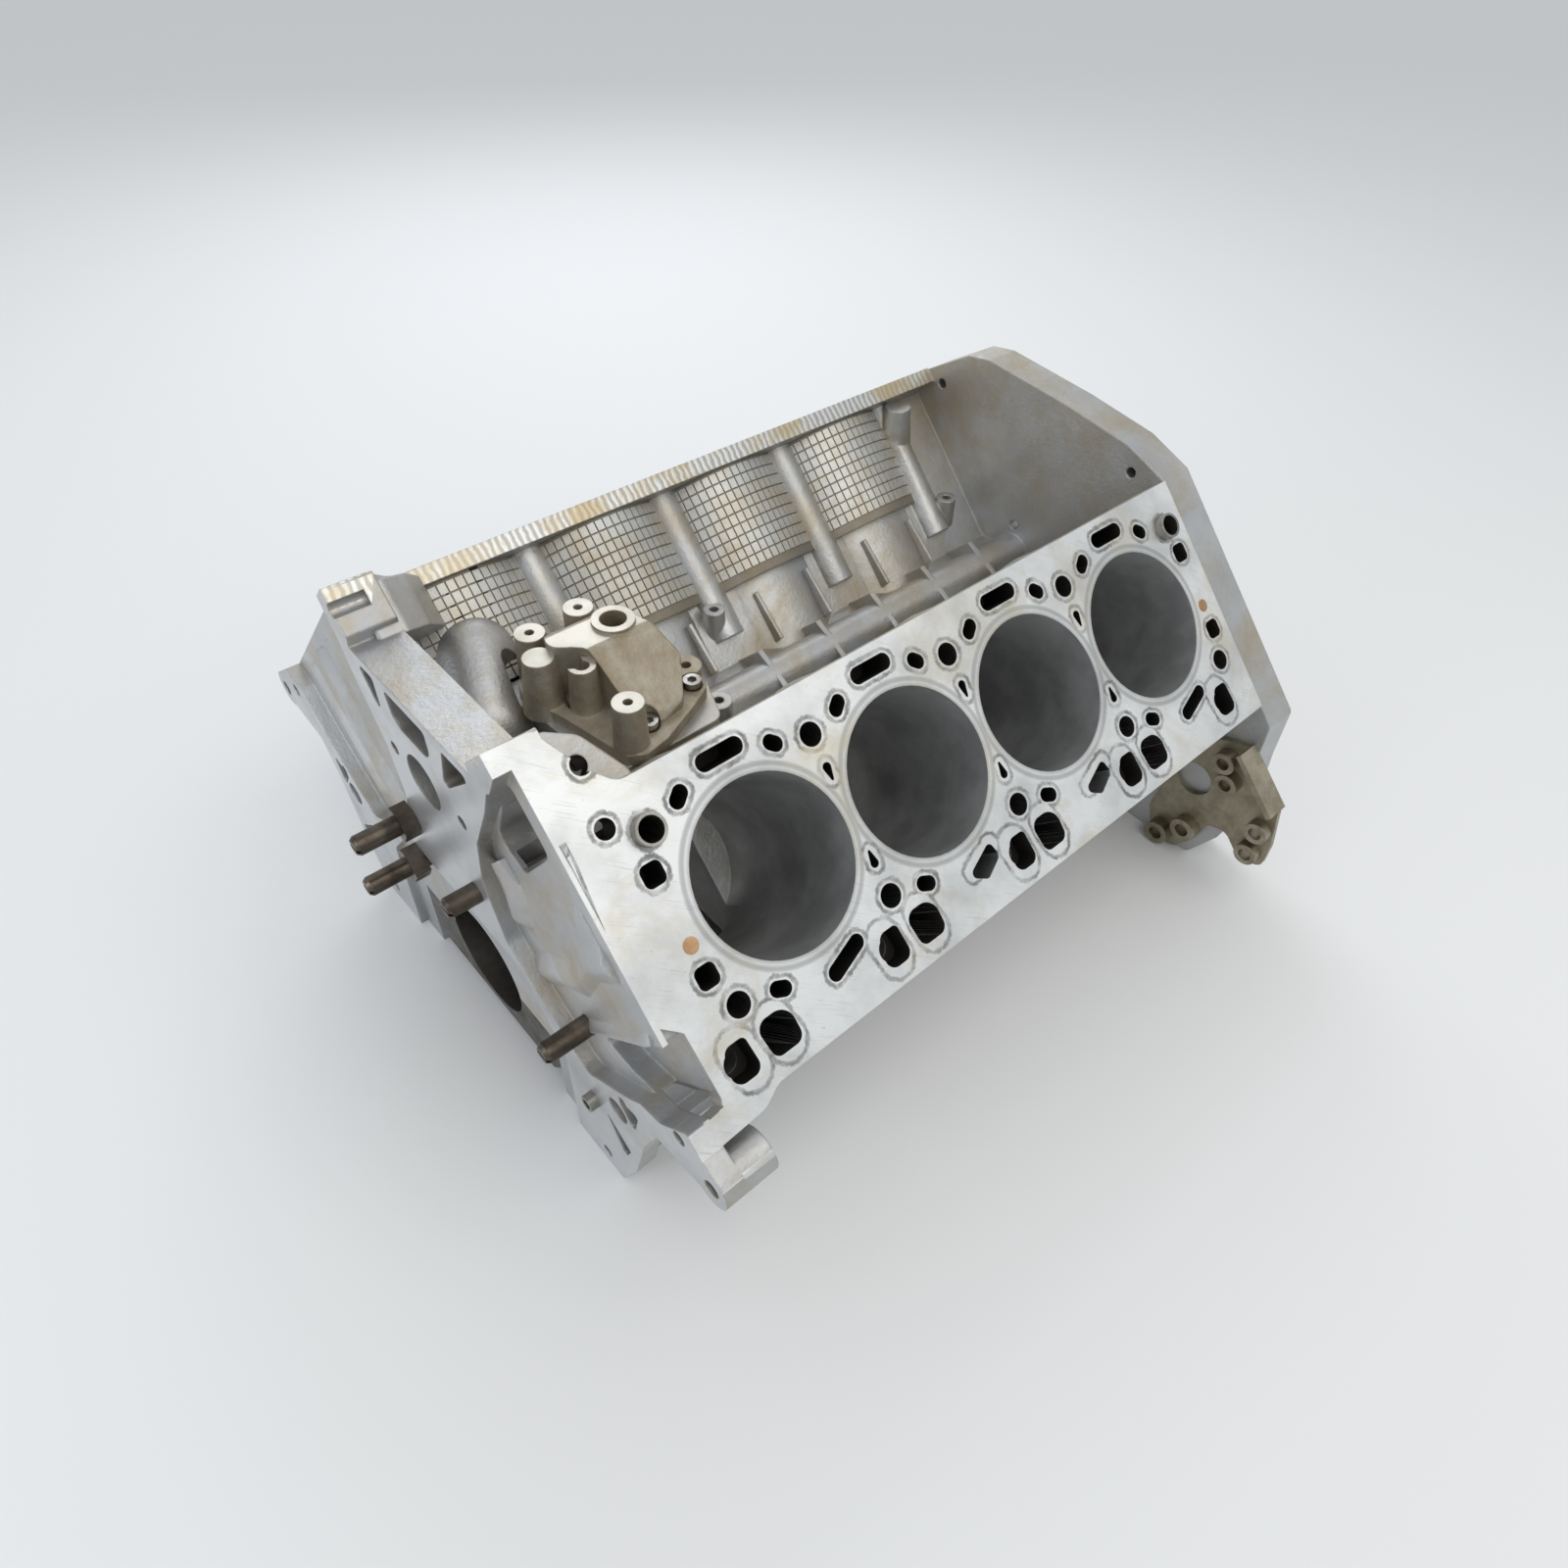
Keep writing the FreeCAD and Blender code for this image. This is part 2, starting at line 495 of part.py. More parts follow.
def bearing_cuts():
    """The line bore and the seats of the five caps with their bolt holes."""
    drop = size("pan_rail_drop")
    half = size("cap_half_width")
    cuts = [cylinder("line_bore", (-1, 0, 0), "main_bore_diameter / 2", f"{BLOCK_LENGTH} + 2", ALONG_X)]
    for i in MAINS:
        start, width = cap_span(i)
        cuts.append(box(f"cap_seat_{i + 1}", (f"{start} - {0 if i else 6}", "-cap_half_width", "-pan_rail_drop - 1"),
                        (f"{width} + {0 if i else 6}", "2 * cap_half_width", "pan_rail_drop + 1")))
        middle = f"{start} + {width} / 2"
        for side in (NEAR, FAR):
            tag = "near" if side == NEAR else "far"
            cuts.append(cylinder(f"{tag}_main_thread_{i + 1}", (middle, f"{side} * main_bolt_row", -1),
                                 "main_bolt_diameter / 2 + fit_gap", "main_bolt_grip + 2"))
            cuts.append(cylinder(f"{tag}_side_hole_{i + 1}", (middle, f"{side} * (cap_half_width - 1)", "-side_bolt_drop"),
                                 "side_bolt_diameter / 2 + fit_gap", "rail_half_width", outward(side)))
    return cuts


def block_casting():
    blank = [bank_body("near", NEAR), bank_body("far", FAR), rear_end()]
    blank += mount_bosses(11.0, "skirt_half_width - 6", "14")
    solid = fuse("casting_blank", blank + crankcase() + valley_bosses() + front_end())
    cuts = crank_bays() + bearing_cuts() + front_cuts() + rear_cuts() + fitting_seats()
    cuts += rail_holes() + mount_bosses(4.25, "skirt_half_width - 8", "30")
    carved = cut("casting_carved", solid, fuse("case_cuts", cuts))
    near = cut("casting_near_bored", carved, deck_openings("near", NEAR))
    return cut("block_casting", near, deck_openings("far", FAR))



# ---------------------------------------------------------------- seats for the other parts

# Chain-guide pins: label, Y, Z, collar or none.
GUIDE_PINS = [
    ("upper_guide_pin", -29, 94, False), ("lower_guide_pin", -112, 59, False),
    ("upper_collar_pin", 41, 93, True), ("lower_collar_pin", 47, 53, True),
]
COVER_DOWELS = [(-122, 8), (122, 8)]
BELL_DOWELS = [(-208, 56), (208, 56)]
HOUSING_SCREWS = [(111, -34), (149, -22), (92, 6)]
# Valley housing posts: X, Y, foot height, foot radius, top radius, hole radius.
HOUSING_POSTS = [
    (88.5, 41, 145, 9.5, 8.5, 2.6), (121.5, 44, 145, 9.5, 8.5, 2.6), (80.5, 20, 122, 12.5, 8.5, 0),
    (94.5, 0, 130, 9.5, 7.5, 4.2), (96, -39, 145, 9.8, 8.5, 2.6),
]
BRACKET_BOLTS = [(-183, -47, 9), (-200, -30, 9), (-208, 42, 8), (-215, 27, 8)]
BRACKET_NUTS = [(-246, 4), (-246, -17)]


def valley_bosses():
    """The housing's pedestal, the blister on the far wall and the drilled bosses."""
    seat = [(79, -47), (150, -47), (162, -18), (150, 48), (74, 50), (74, 6)]
    parts = [prism("housing_pedestal", rounded(seat, 8), "valley_floor - 2", "housing_seat - valley_floor + 2")]
    ends = [(70, 76, 149), (57, 44, 130)]
    for k, place in enumerate(ends):
        dome = bind(doc.addObject("Part::Sphere", f"far_blister_{k + 1}"), Radius="jacket_radius * 0.37")
        parts.append(at(dome, *place))
    run = FreeCAD.Vector(*ends[0]) - FreeCAD.Vector(*ends[1])
    turn = FreeCAD.Rotation(FreeCAD.Vector(0, 0, 1), run)
    parts.append(cylinder("far_blister_neck", ends[1], "jacket_radius * 0.37", run.Length, turn))
    for k, (x, y, radius) in enumerate([(218.5, 46, 7), (434.5, 46, 7), (418.5, -50, 7), (166, -24, 8)]):
        parts.append(cylinder(f"valley_boss_{k + 1}", (x, y, "valley_floor - 4"), radius, "37"))
    parts.append(cone("valley_rear_post", (423, 92, 150), 13, 9, "36"))
    return parts


def fitting_seats():
    """Holes for the pins, dowels, plugs and screws that sit in the casting."""
    cuts = []
    for label, y, z, _ in GUIDE_PINS:
        cuts.append(cylinder(f"{label}_seat", (-1, y, z), "guide_pin_diameter / 2", "guide_pin_seat + 1", ALONG_X))
    for k, (y, z) in enumerate(COVER_DOWELS):
        cuts.append(cylinder(f"cover_dowel_seat_{k + 1}", (-1, y, z), "cover_dowel_diameter / 2",
                             "cover_dowel_seat + 1", ALONG_X))
    for k, (y, z) in enumerate(BELL_DOWELS):
        cuts.append(cylinder(f"bell_dowel_seat_{k + 1}", (f"{BLOCK_LENGTH} - bell_dowel_seat", y, z),
                             "bell_dowel_diameter / 2", "bell_dowel_seat + 1", ALONG_X))
    for k, (y, z) in enumerate([(0, "valley_floor"), (-24, "valley_floor - 2")]):
        cuts.append(cylinder(f"gallery_bore_{k + 1}", (f"{DECK_LENGTH} - 30", y, z),
                             f"gallery_bore_diameter / {2 + k}", "rear_flange + 30", ALONG_X))
    clearance = [(72, 6), (70, 30), (76, 57), (134, 58), (150, 36), (167, -6), (163, -34), (116, -56), (86, -57), (76, -8)]
    cuts.append(prism("housing_spot_face", rounded(clearance, 8), "housing_seat", "24"))
    for k, (x, y) in enumerate(HOUSING_SCREWS):
        cuts.append(cylinder(f"housing_thread_{k + 1}", (x, y, "housing_seat - 12"),
                             "housing_screw_diameter / 2", "housing_screw_diameter * 3"))
    for k, (y, z, _) in enumerate(BRACKET_BOLTS):
        cuts.append(cylinder(f"bracket_thread_{k + 1}", (f"{DECK_LENGTH} - 1", y, z),
                             "bracket_bolt_diameter / 2", "15", ALONG_X))
    for k, (x, y, deep) in enumerate([(218.5, 46, 12), (434.5, 46, 12), (418.5, -50, 12), (166, -24, 12)]):
        cuts.append(cylinder(f"valley_hole_{k + 1}", (x, y, f"valley_floor + 33 - {deep}"), 3, f"{deep} + 1"))
    return cuts


# ---------------------------------------------------------------- the other parts

def hexagon(name, foot, flats, height, turn=FreeCAD.Rotation()):
    obj = doc.addObject("Part::Prism", name)
    obj.Polygon = 6
    obj.Placement = FreeCAD.Placement(FreeCAD.Vector(), turn)
    return at(bind(obj, Circumradius=f"({flats}) / sqrt(3)", Height=height), *foot)


def named(obj, label):
    obj.Label = label
    return obj


def main_caps():
    """Five caps that close the line bore from below."""
    caps = []
    low = size("cap_height")
    half = size("cap_half_width") - size("fit_gap")
    outline = [(-half, 0), (-half, -low + 12), (-half + 10, -low), (half - 10, -low), (half, -low + 12), (half, 0)]
    for i in MAINS:
        start, width = cap_span(i)
        blank = section(f"cap_blank_{i + 1}", outline, start, width, [0, 4, 6, 6, 4, 0])
        middle = f"{start} + {width} / 2"
        cuts = [cylinder(f"cap_bore_{i + 1}", (f"{start} - 1", 0, 0), "main_bore_diameter / 2", f"{width} + 2", ALONG_X)]
        for side in (NEAR, FAR):
            cuts.append(cylinder(f"cap_hole_{i + 1}_{side + 2}", (middle, f"{side} * main_bolt_row", "-cap_height - 1"),
                                 "main_bolt_diameter / 2 + fit_gap", "cap_height + 2"))
            cuts.append(cylinder(f"cap_thread_{i + 1}_{side + 2}", (middle, f"{side} * (cap_half_width - 15)", "-side_bolt_drop"),
                                 "side_bolt_diameter / 2", "16", outward(side)))
        caps.append(named(cut(f"cap_{i + 1}", blank, fuse(f"cap_cuts_{i + 1}", cuts)), f"main_bearing_cap_{i + 1}"))
    return caps


def cap_bolts():
    """Ten bolts up into the bulkheads and ten from the sides of the skirt."""
    upright, sideways = [], []
    for i in MAINS:
        start, width = cap_span(i)
        middle = f"{start} + {width} / 2"
        for side in (NEAR, FAR):
            tag = f"{i + 1}_{side + 2}"
            upright.append(fuse(f"main_bolt_{tag}", [
                cylinder(f"main_shank_{tag}", (middle, f"{side} * main_bolt_row", "-cap_height"),
                         "main_bolt_diameter / 2", "cap_height + main_bolt_grip"),
                hexagon(f"main_head_{tag}", (middle, f"{side} * main_bolt_row", "-cap_height - main_bolt_head"),
                        "main_bolt_diameter * 1.6", "main_bolt_head")]))
            sideways.append(fuse(f"side_bolt_{tag}", [
                cylinder(f"side_shank_{tag}", (middle, f"{side} * (cap_half_width - 14)", "-side_bolt_drop"),
                         "side_bolt_diameter / 2", "skirt_half_width - cap_half_width + 14", outward(side)),
                hexagon(f"side_head_{tag}", (middle, f"{side} * skirt_half_width", "-side_bolt_drop"),
                        "side_bolt_diameter * 1.6", "side_bolt_head", outward(side))]))
    return [named(compound("main_bolts", upright), "main_cap_bolts"), named(compound("side_bolts", sideways), "main_cap_side_bolts")]


def compound(name, shapes):
    obj = doc.addObject("Part::Compound", name)
    obj.Links = shapes
    return obj


def guide_pins():
    """Pins for the chain guides; two of them have a hexagon collar against the face."""
    pins = []
    for label, y, z, collar in GUIDE_PINS:
        reach = "guide_pin_long" if collar else "guide_pin_short"
        shapes = [cylinder(f"{label}_shaft", (f"2 - {reach}", y, z), "guide_pin_diameter / 2",
                           f"{reach} - 2 + guide_pin_seat", ALONG_X),
                  cone(f"{label}_tip", (f"-{reach}", y, z), "guide_pin_diameter / 2 - 1.5", "guide_pin_diameter / 2", "2", ALONG_X)]
        if collar:
            shapes.append(hexagon(f"{label}_hex", ("-pin_collar", y, z), "pin_collar_flats", "pin_collar", ALONG_X))
        solid = fuse(f"{label}_body", shapes)
        slit = box(f"{label}_slit", (f"-{reach} - 1", f"{y} - guide_pin_diameter", f"{z} - 1"), ("3", "guide_pin_diameter * 2", "2"))
        pins.append(named(cut(f"{label}_cut", solid, slit), label))
    return pins


def sleeves(label, shapes):
    return named(compound(label + "_pair", shapes), label)


def tube(name, foot, outer, inner, length, turn=FreeCAD.Rotation()):
    return cut(name, cylinder(f"{name}_outer", foot, outer, length, turn), cylinder(f"{name}_inner", foot, inner, length, turn))


def dowels():
    """Dowel sleeves of both decks, of the front cover and of the flywheel end."""
    parts = []
    for tag, side in BANKS.items():
        pair = []
        for i in (0, 4):
            foot = (f"{first_bore(side)} + bore_pitch * {i - 0.5}", "head_bolt_row",
                    "deck_height + dowel_proud - dowel_length")
            pair.append(tube(f"{tag}_sleeve_{i}", foot, "dowel_outer_diameter / 2", "dowel_inner_diameter / 2", "dowel_length"))
        parts.append(named(tilt(compound(f"{tag}_sleeves", pair), side), f"{tag}_deck_sleeves"))
    pair = []
    for k, (y, z) in enumerate(COVER_DOWELS):
        pair.append(tube(f"cover_sleeve_{k + 1}", ("-cover_dowel_proud", y, z), "cover_dowel_diameter / 2",
                         "cover_dowel_bore / 2", "cover_dowel_proud + cover_dowel_seat", ALONG_X))
    parts.append(sleeves("cover_dowel_sleeves", pair))
    pair = []
    for k, (y, z) in enumerate(BELL_DOWELS):
        pair.append(cylinder(f"bell_dowel_{k + 1}", (f"{BLOCK_LENGTH} - bell_dowel_seat", y, z), "bell_dowel_diameter / 2",
                             "bell_dowel_seat + bell_dowel_proud", ALONG_X))
    parts.append(sleeves("bell_housing_dowels", pair))
    return parts


def plugs():
    """Deck plugs, cup plugs of the water jackets and plugs of the oil galleries."""
    parts, cups = [], []
    for tag, side in BANKS.items():
        discs = []
        for end, offset in (("front", -56.0), ("rear", 3 * size("bore_pitch") + 54.5)):
            foot = (f"{first_bore(side)} + {offset}", f"{side} * 9.8", "deck_height - deck_plug_depth")
            discs.append(cylinder(f"{tag}_{end}_plug", foot, "deck_plug_diameter / 2", "deck_plug_depth"))
        parts.append(named(tilt(compound(f"{tag}_plugs", discs), side), f"{tag}_deck_plugs"))
        row = []
        for i in CYLINDERS:
            foot = [f"{first_bore(side)} + bore_pitch * {i} + 1.5", f"{side} * (jacket_outboard - core_plug_depth)", CORE_PLUG_HEIGHT]
            disc = cylinder(f"{tag}_cup_disc_{i + 1}", foot, "core_plug_diameter / 2", "core_plug_depth", outward(side))
            foot[1] = f"{side} * (jacket_outboard - core_plug_depth + 2)"
            hollow = cylinder(f"{tag}_cup_hollow_{i + 1}", foot, "core_plug_diameter / 2 - core_plug_wall", "core_plug_depth", outward(side))
            row.append(cut(f"{tag}_cup_{i + 1}", disc, hollow))
        cups.append(tilt(compound(f"{tag}_cups", row), side))
    parts.append(named(compound("cups", cups), "core_plugs"))
    ends = []
    for k, (y, z) in enumerate([(0, "valley_floor"), (-24, "valley_floor - 2")]):
        start = f"{DECK_LENGTH} + rear_plate - gallery_plug_length"
        radius = f"gallery_bore_diameter / {2 + k}"
        ends.append(cut(f"gallery_plug_{k + 1}", cylinder(f"gallery_disc_{k + 1}", (start, y, z), radius, "gallery_plug_length", ALONG_X),
                        hexagon(f"gallery_key_{k + 1}", (f"{DECK_LENGTH} + rear_plate - 5", y, z), radius, "6", ALONG_X)))
    parts.append(named(compound("gallery_ends", ends), "oil_gallery_plugs"))
    return parts


def valley_housing():
    """The rough-cast housing: base plate, sloping shield, threaded posts and the port."""
    plate = [(79, 3), (88, -46), (97, -51), (113, -48), (140, -36), (155, -28), (159, -16), (148, 4),
             (141, 34), (131, 51), (112, 49), (88, 51), (76, 40), (71, 26)]
    parts = [prism("housing_base_plate", rounded(plate, [4, 6, 5, 8, 6, 6, 6, 10, 10, 8, 10, 9, 8, 8]), "housing_seat", "housing_plate")]
    shield = [(101, 6), (104, -24), (116, -38), (134, -34), (147, -16), (139, 8), (136, 24), (114, 30), (92, 34), (86, 18)]
    plan = prism("housing_plan", rounded(shield, 8), "housing_seat", "60")
    profile = [(-44, 143), (-34, 156), (2, 183), (30, 183), (40, 143)]
    side = section("housing_profile", profile, "60", "120", [0, 10, 12, 8, 0])
    parts.append(common("housing_shield", plan, side))
    parts.append(cylinder("housing_port", (125.5, 15, "housing_seat"), "port_diameter / 2 + 4.5", "port_top - housing_seat"))
    parts.append(cylinder("housing_dome", (103, 30, "housing_seat"), 13, "27"))
    parts.append(cylinder("housing_lug", (154, -10, "housing_seat"), 9, "housing_plate + 4"))
    for k, (x, y, foot, base, top, _) in enumerate(HOUSING_POSTS):
        parts.append(cone(f"housing_post_{k + 1}", (x, y, max(foot, 143)), base, top, f"post_top - {max(foot, 143)}"))
    cuts = [cylinder("port_bore", (125.5, 15, "housing_seat + 3"), "port_diameter / 2", "60"),
            cylinder("lug_hole", (154, -10, "housing_seat + 2"), 3, "20")]
    for k, (x, y, _, _, _, hole) in enumerate(HOUSING_POSTS):
        if hole:
            cuts.append(cylinder(f"post_hole_{k + 1}", (x, y, "post_top - 16"), hole, "20"))
    for k, (x, y) in enumerate(HOUSING_SCREWS):
        cuts.append(cylinder(f"screw_hole_{k + 1}", (x, y, "housing_seat - 1"), "housing_screw_diameter / 2 + fit_gap", "40"))
        cuts.append(cylinder(f"screw_well_{k + 1}", (x, y, "housing_seat + housing_plate - 2"), "housing_screw_diameter", "40"))
    return named(cut("housing_cut", fuse("housing_solid", parts), fuse("housing_cuts", cuts)), "valley_housing")


def housing_screws():
    screws = []
    for k, (x, y) in enumerate(HOUSING_SCREWS):
        seat = "(housing_seat + housing_plate - 2)"
        solid = fuse(f"screw_solid_{k + 1}", [
            cylinder(f"screw_shank_{k + 1}", (x, y, "housing_seat - 12"), "housing_screw_diameter / 2", "housing_plate + 10"),
            cylinder(f"screw_head_{k + 1}", (x, y, seat), "housing_screw_diameter * 0.85", "housing_screw_head")])
        key = hexagon(f"screw_key_{k + 1}", (x, y, f"{seat} + housing_screw_head - 3"), "housing_screw_diameter * 0.8", "4")
        screws.append(cut(f"screw_{k + 1}", solid, key))
    return named(compound("screws", screws), "housing_screws")


def bracket():
    """The pressed plate on the flywheel flange with its bolts and weld nuts."""
    outline = [(-176, 20), (-196, 52), (-217, 58), (-251, 26), (-257, -6), (-257, -27), (-238, -28), (-226, -16), (-212, -20),
               (-208, -38), (-196, -57), (-176, -57), (-168, -34)]
    station = f"({DECK_LENGTH} - bracket_plate)"
    plate = section("bracket_blank", outline, station, "bracket_plate", [12, 14, 6, 10, 8, 6, 6, 9, 7, 8, 9, 9, 12])
    rim = [(-215.5, 57.5), (-250, 25.5), (-252.5, 28.5), (-218, 60.5)]
    lip = section("bracket_lip", rim, f"{station} - 14", "18")
    cuts = [cylinder("bracket_window", (f"{station} - 1", -191, 10), 13, "bracket_plate + 2", ALONG_X)]
    for k, (y, z) in enumerate(BRACKET_NUTS):
        cuts.append(cylinder(f"bracket_nut_hole_{k + 1}", (f"{station} - 1", y, z), 4.5, "bracket_plate + 2", ALONG_X))
    for k, (y, z, _) in enumerate(BRACKET_BOLTS):
        cuts.append(cylinder(f"bracket_bolt_hole_{k + 1}", (f"{station} - 1", y, z), "bracket_bolt_diameter / 2", "bracket_plate + 2", ALONG_X))
    parts = [named(cut("bracket_cut", fuse("bracket_solid", [plate, lip]), fuse("bracket_cuts", cuts)), "rear_bracket_plate")]
    bolts = []
    for k, (y, z, radius) in enumerate(BRACKET_BOLTS):
        head = cylinder(f"bracket_head_{k + 1}", (f"{station} - 9", y, z), radius, "9", ALONG_X)
        shank = cylinder(f"bracket_shank_{k + 1}", (station, y, z), "bracket_bolt_diameter / 2", "bracket_plate + 14", ALONG_X)
        key = cylinder(f"bracket_key_{k + 1}", (f"{station} - 10", y, z), f"{radius} * 0.55", "6", ALONG_X)
        bolts.append(cut(f"bracket_bolt_{k + 1}", fuse(f"bracket_bolt_solid_{k + 1}", [head, shank]), key))
    parts.append(named(compound("bracket_bolt_set", bolts), "bracket_bolts"))
    nuts = []
    for k, (y, z) in enumerate(BRACKET_NUTS):
        nuts.append(tube(f"bracket_nut_{k + 1}", (f"{station} - bracket_nut_height", y, z), "8", "4.5", "bracket_nut_height", ALONG_X))
    parts.append(named(compound("bracket_nut_set", nuts), "bracket_nuts"))
    return parts


def write(parts):
    """Checks every object and writes each sub-part to its own file."""
    doc.recompute()
    faults = [f"{o.Label}: {o.State}" for o in doc.Objects if {"Invalid", "Error"} & set(o.State)]
    for part in parts:
        if part.Shape.isNull() or not part.Shape.isValid():
            faults.append(f"{part.Label}: bad shape")
    if faults:
        raise RuntimeError("; ".join(faults))
    os.makedirs("parts", exist_ok=True)
    for part in parts:
        part.Shape.exportStep(f"parts/{part.Label}.step")


PARTS = [block_casting(), valley_housing(), housing_screws()]
PARTS += main_caps() + cap_bolts() + guide_pins() + dowels() + plugs() + bracket()
write(PARTS)
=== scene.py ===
import math

import bmesh
import bpy
from mathutils import Matrix, Vector


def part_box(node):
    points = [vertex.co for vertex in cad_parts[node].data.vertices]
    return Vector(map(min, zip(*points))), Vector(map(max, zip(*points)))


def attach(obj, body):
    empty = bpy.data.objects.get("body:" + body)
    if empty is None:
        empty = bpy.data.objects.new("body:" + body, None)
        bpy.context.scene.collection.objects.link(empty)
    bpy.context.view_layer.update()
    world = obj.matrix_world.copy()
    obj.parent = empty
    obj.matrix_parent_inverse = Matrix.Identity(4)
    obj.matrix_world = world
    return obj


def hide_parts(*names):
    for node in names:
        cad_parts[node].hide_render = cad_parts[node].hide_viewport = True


bl_info = {
    "name": "Engine block looks",
    "version": (1, 0, 0),
    "blender": (4, 5, 0),
    "location": "3D View > Sidebar > Engine block",
    "description": "Dresses a bare V8 cylinder block: castings, milled faces, bores, steel and stage",
    "category": "Object",
}

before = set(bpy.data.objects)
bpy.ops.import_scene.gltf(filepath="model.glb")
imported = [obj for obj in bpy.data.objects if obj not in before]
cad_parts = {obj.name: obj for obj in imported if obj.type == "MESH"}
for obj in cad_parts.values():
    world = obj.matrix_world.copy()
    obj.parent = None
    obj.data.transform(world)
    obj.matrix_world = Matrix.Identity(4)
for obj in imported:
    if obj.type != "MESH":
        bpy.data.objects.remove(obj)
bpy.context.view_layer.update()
BOX_LOW, BOX_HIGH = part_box("block_casting")

PITCH = 0.098
BORE_RADIUS = 0.0445
JACKET_RADIUS = 0.066
BORE_FOOT = 0.076
DECK_HEIGHT = 0.213
FIRST_NEAR = 0.0985
BANK_OFFSET = 0.020
LINE_RADIUS = 0.0375
FLOOR_HEIGHT = -0.0581
FLOOR_REACH = 30
BORE_COUNT = 4
CREASE_DEGREES = 34
RELIEF_CREASE_DEGREES = 60
BLOCK_SIZE_KEYS = ("Length", "Width", "Height")
CAMERA_LENS = 24.71
CAMERA_PLACE = (-0.12396, -0.39231, 0.53537)
CAMERA_RIGHT = Vector((0.75022, -0.66058, 0.02856))
CAMERA_UP = Vector((0.45406, 0.54611, 0.70399))
CAMERA_BACK = Vector((-0.48063, -0.51518, 0.70964))


# ------------------------------------------------------------------ helpers

def linear(code):
    """An sRGB hex colour as linear red, green, blue and 1."""
    channels = [int(code[i:i + 2], 16) / 255 for i in (0, 2, 4)]
    return tuple(c / 12.92 if c <= 0.04045 else ((c + 0.055) / 1.055) ** 2.4 for c in channels) + (1.0,)


def new_object(name, data):
    """Adds an object with this mesh, lamp or camera to the scene."""
    piece = bpy.data.objects.new(name, data)
    bpy.context.scene.collection.objects.link(piece)
    return piece


def across_deck(y, z):
    """Distance across the deck and from the crankshaft axis, for either bank."""
    return (abs(y) - z) / math.sqrt(2), (abs(y) + z) / math.sqrt(2)


def bank_point(side, u, v, h):
    """A point of a bank: along the crank, across the deck, up from the crank axis."""
    start = FIRST_NEAR - (BANK_OFFSET if side > 0 else 0)
    return Vector((start + u, side * (h + v) / math.sqrt(2), (h - v) / math.sqrt(2)))


def clean_mesh(mesh, degrees):
    """Joins the split corners of a CAD mesh and shades it smooth up to this angle."""
    if "custom_normal" in mesh.attributes:
        mesh.attributes.remove(mesh.attributes["custom_normal"])
    work = bmesh.new()
    work.from_mesh(mesh)
    bmesh.ops.remove_doubles(work, verts=work.verts, dist=1e-6)
    bmesh.ops.recalc_face_normals(work, faces=work.faces)
    for face in work.faces:
        face.smooth = True
    for edge in work.edges:
        edge.smooth = edge.is_manifold and edge.calc_face_angle(0.0) < math.radians(degrees)
    work.to_mesh(mesh)
    work.free()


def from_line(point, line):
    """Distance of a point from a chain of straight pieces, all in one plane."""
    best = 1.0
    for (ax, ay), (bx, by) in zip(line, line[1:]):
        dx, dy = bx - ax, by - ay
        share = ((point[0] - ax) * dx + (point[1] - ay) * dy) / (dx * dx + dy * dy)
        share = min(1.0, max(0.0, share))
        best = min(best, math.hypot(point[0] - ax - share * dx, point[1] - ay - share * dy))
    return best


def points_mesh(name, places, aims, ups):
    """Bare points that each carry two directions, for pieces set out by Geometry Nodes."""
    mesh = bpy.data.meshes.new(name)
    mesh.from_pydata(places, [], [])
    for key, values in (("aim", aims), ("up", ups)):
        layer = mesh.attributes.new(key, "FLOAT_VECTOR", "POINT")
        layer.data.foreach_set("vector", [c for value in values for c in value])
    return mesh


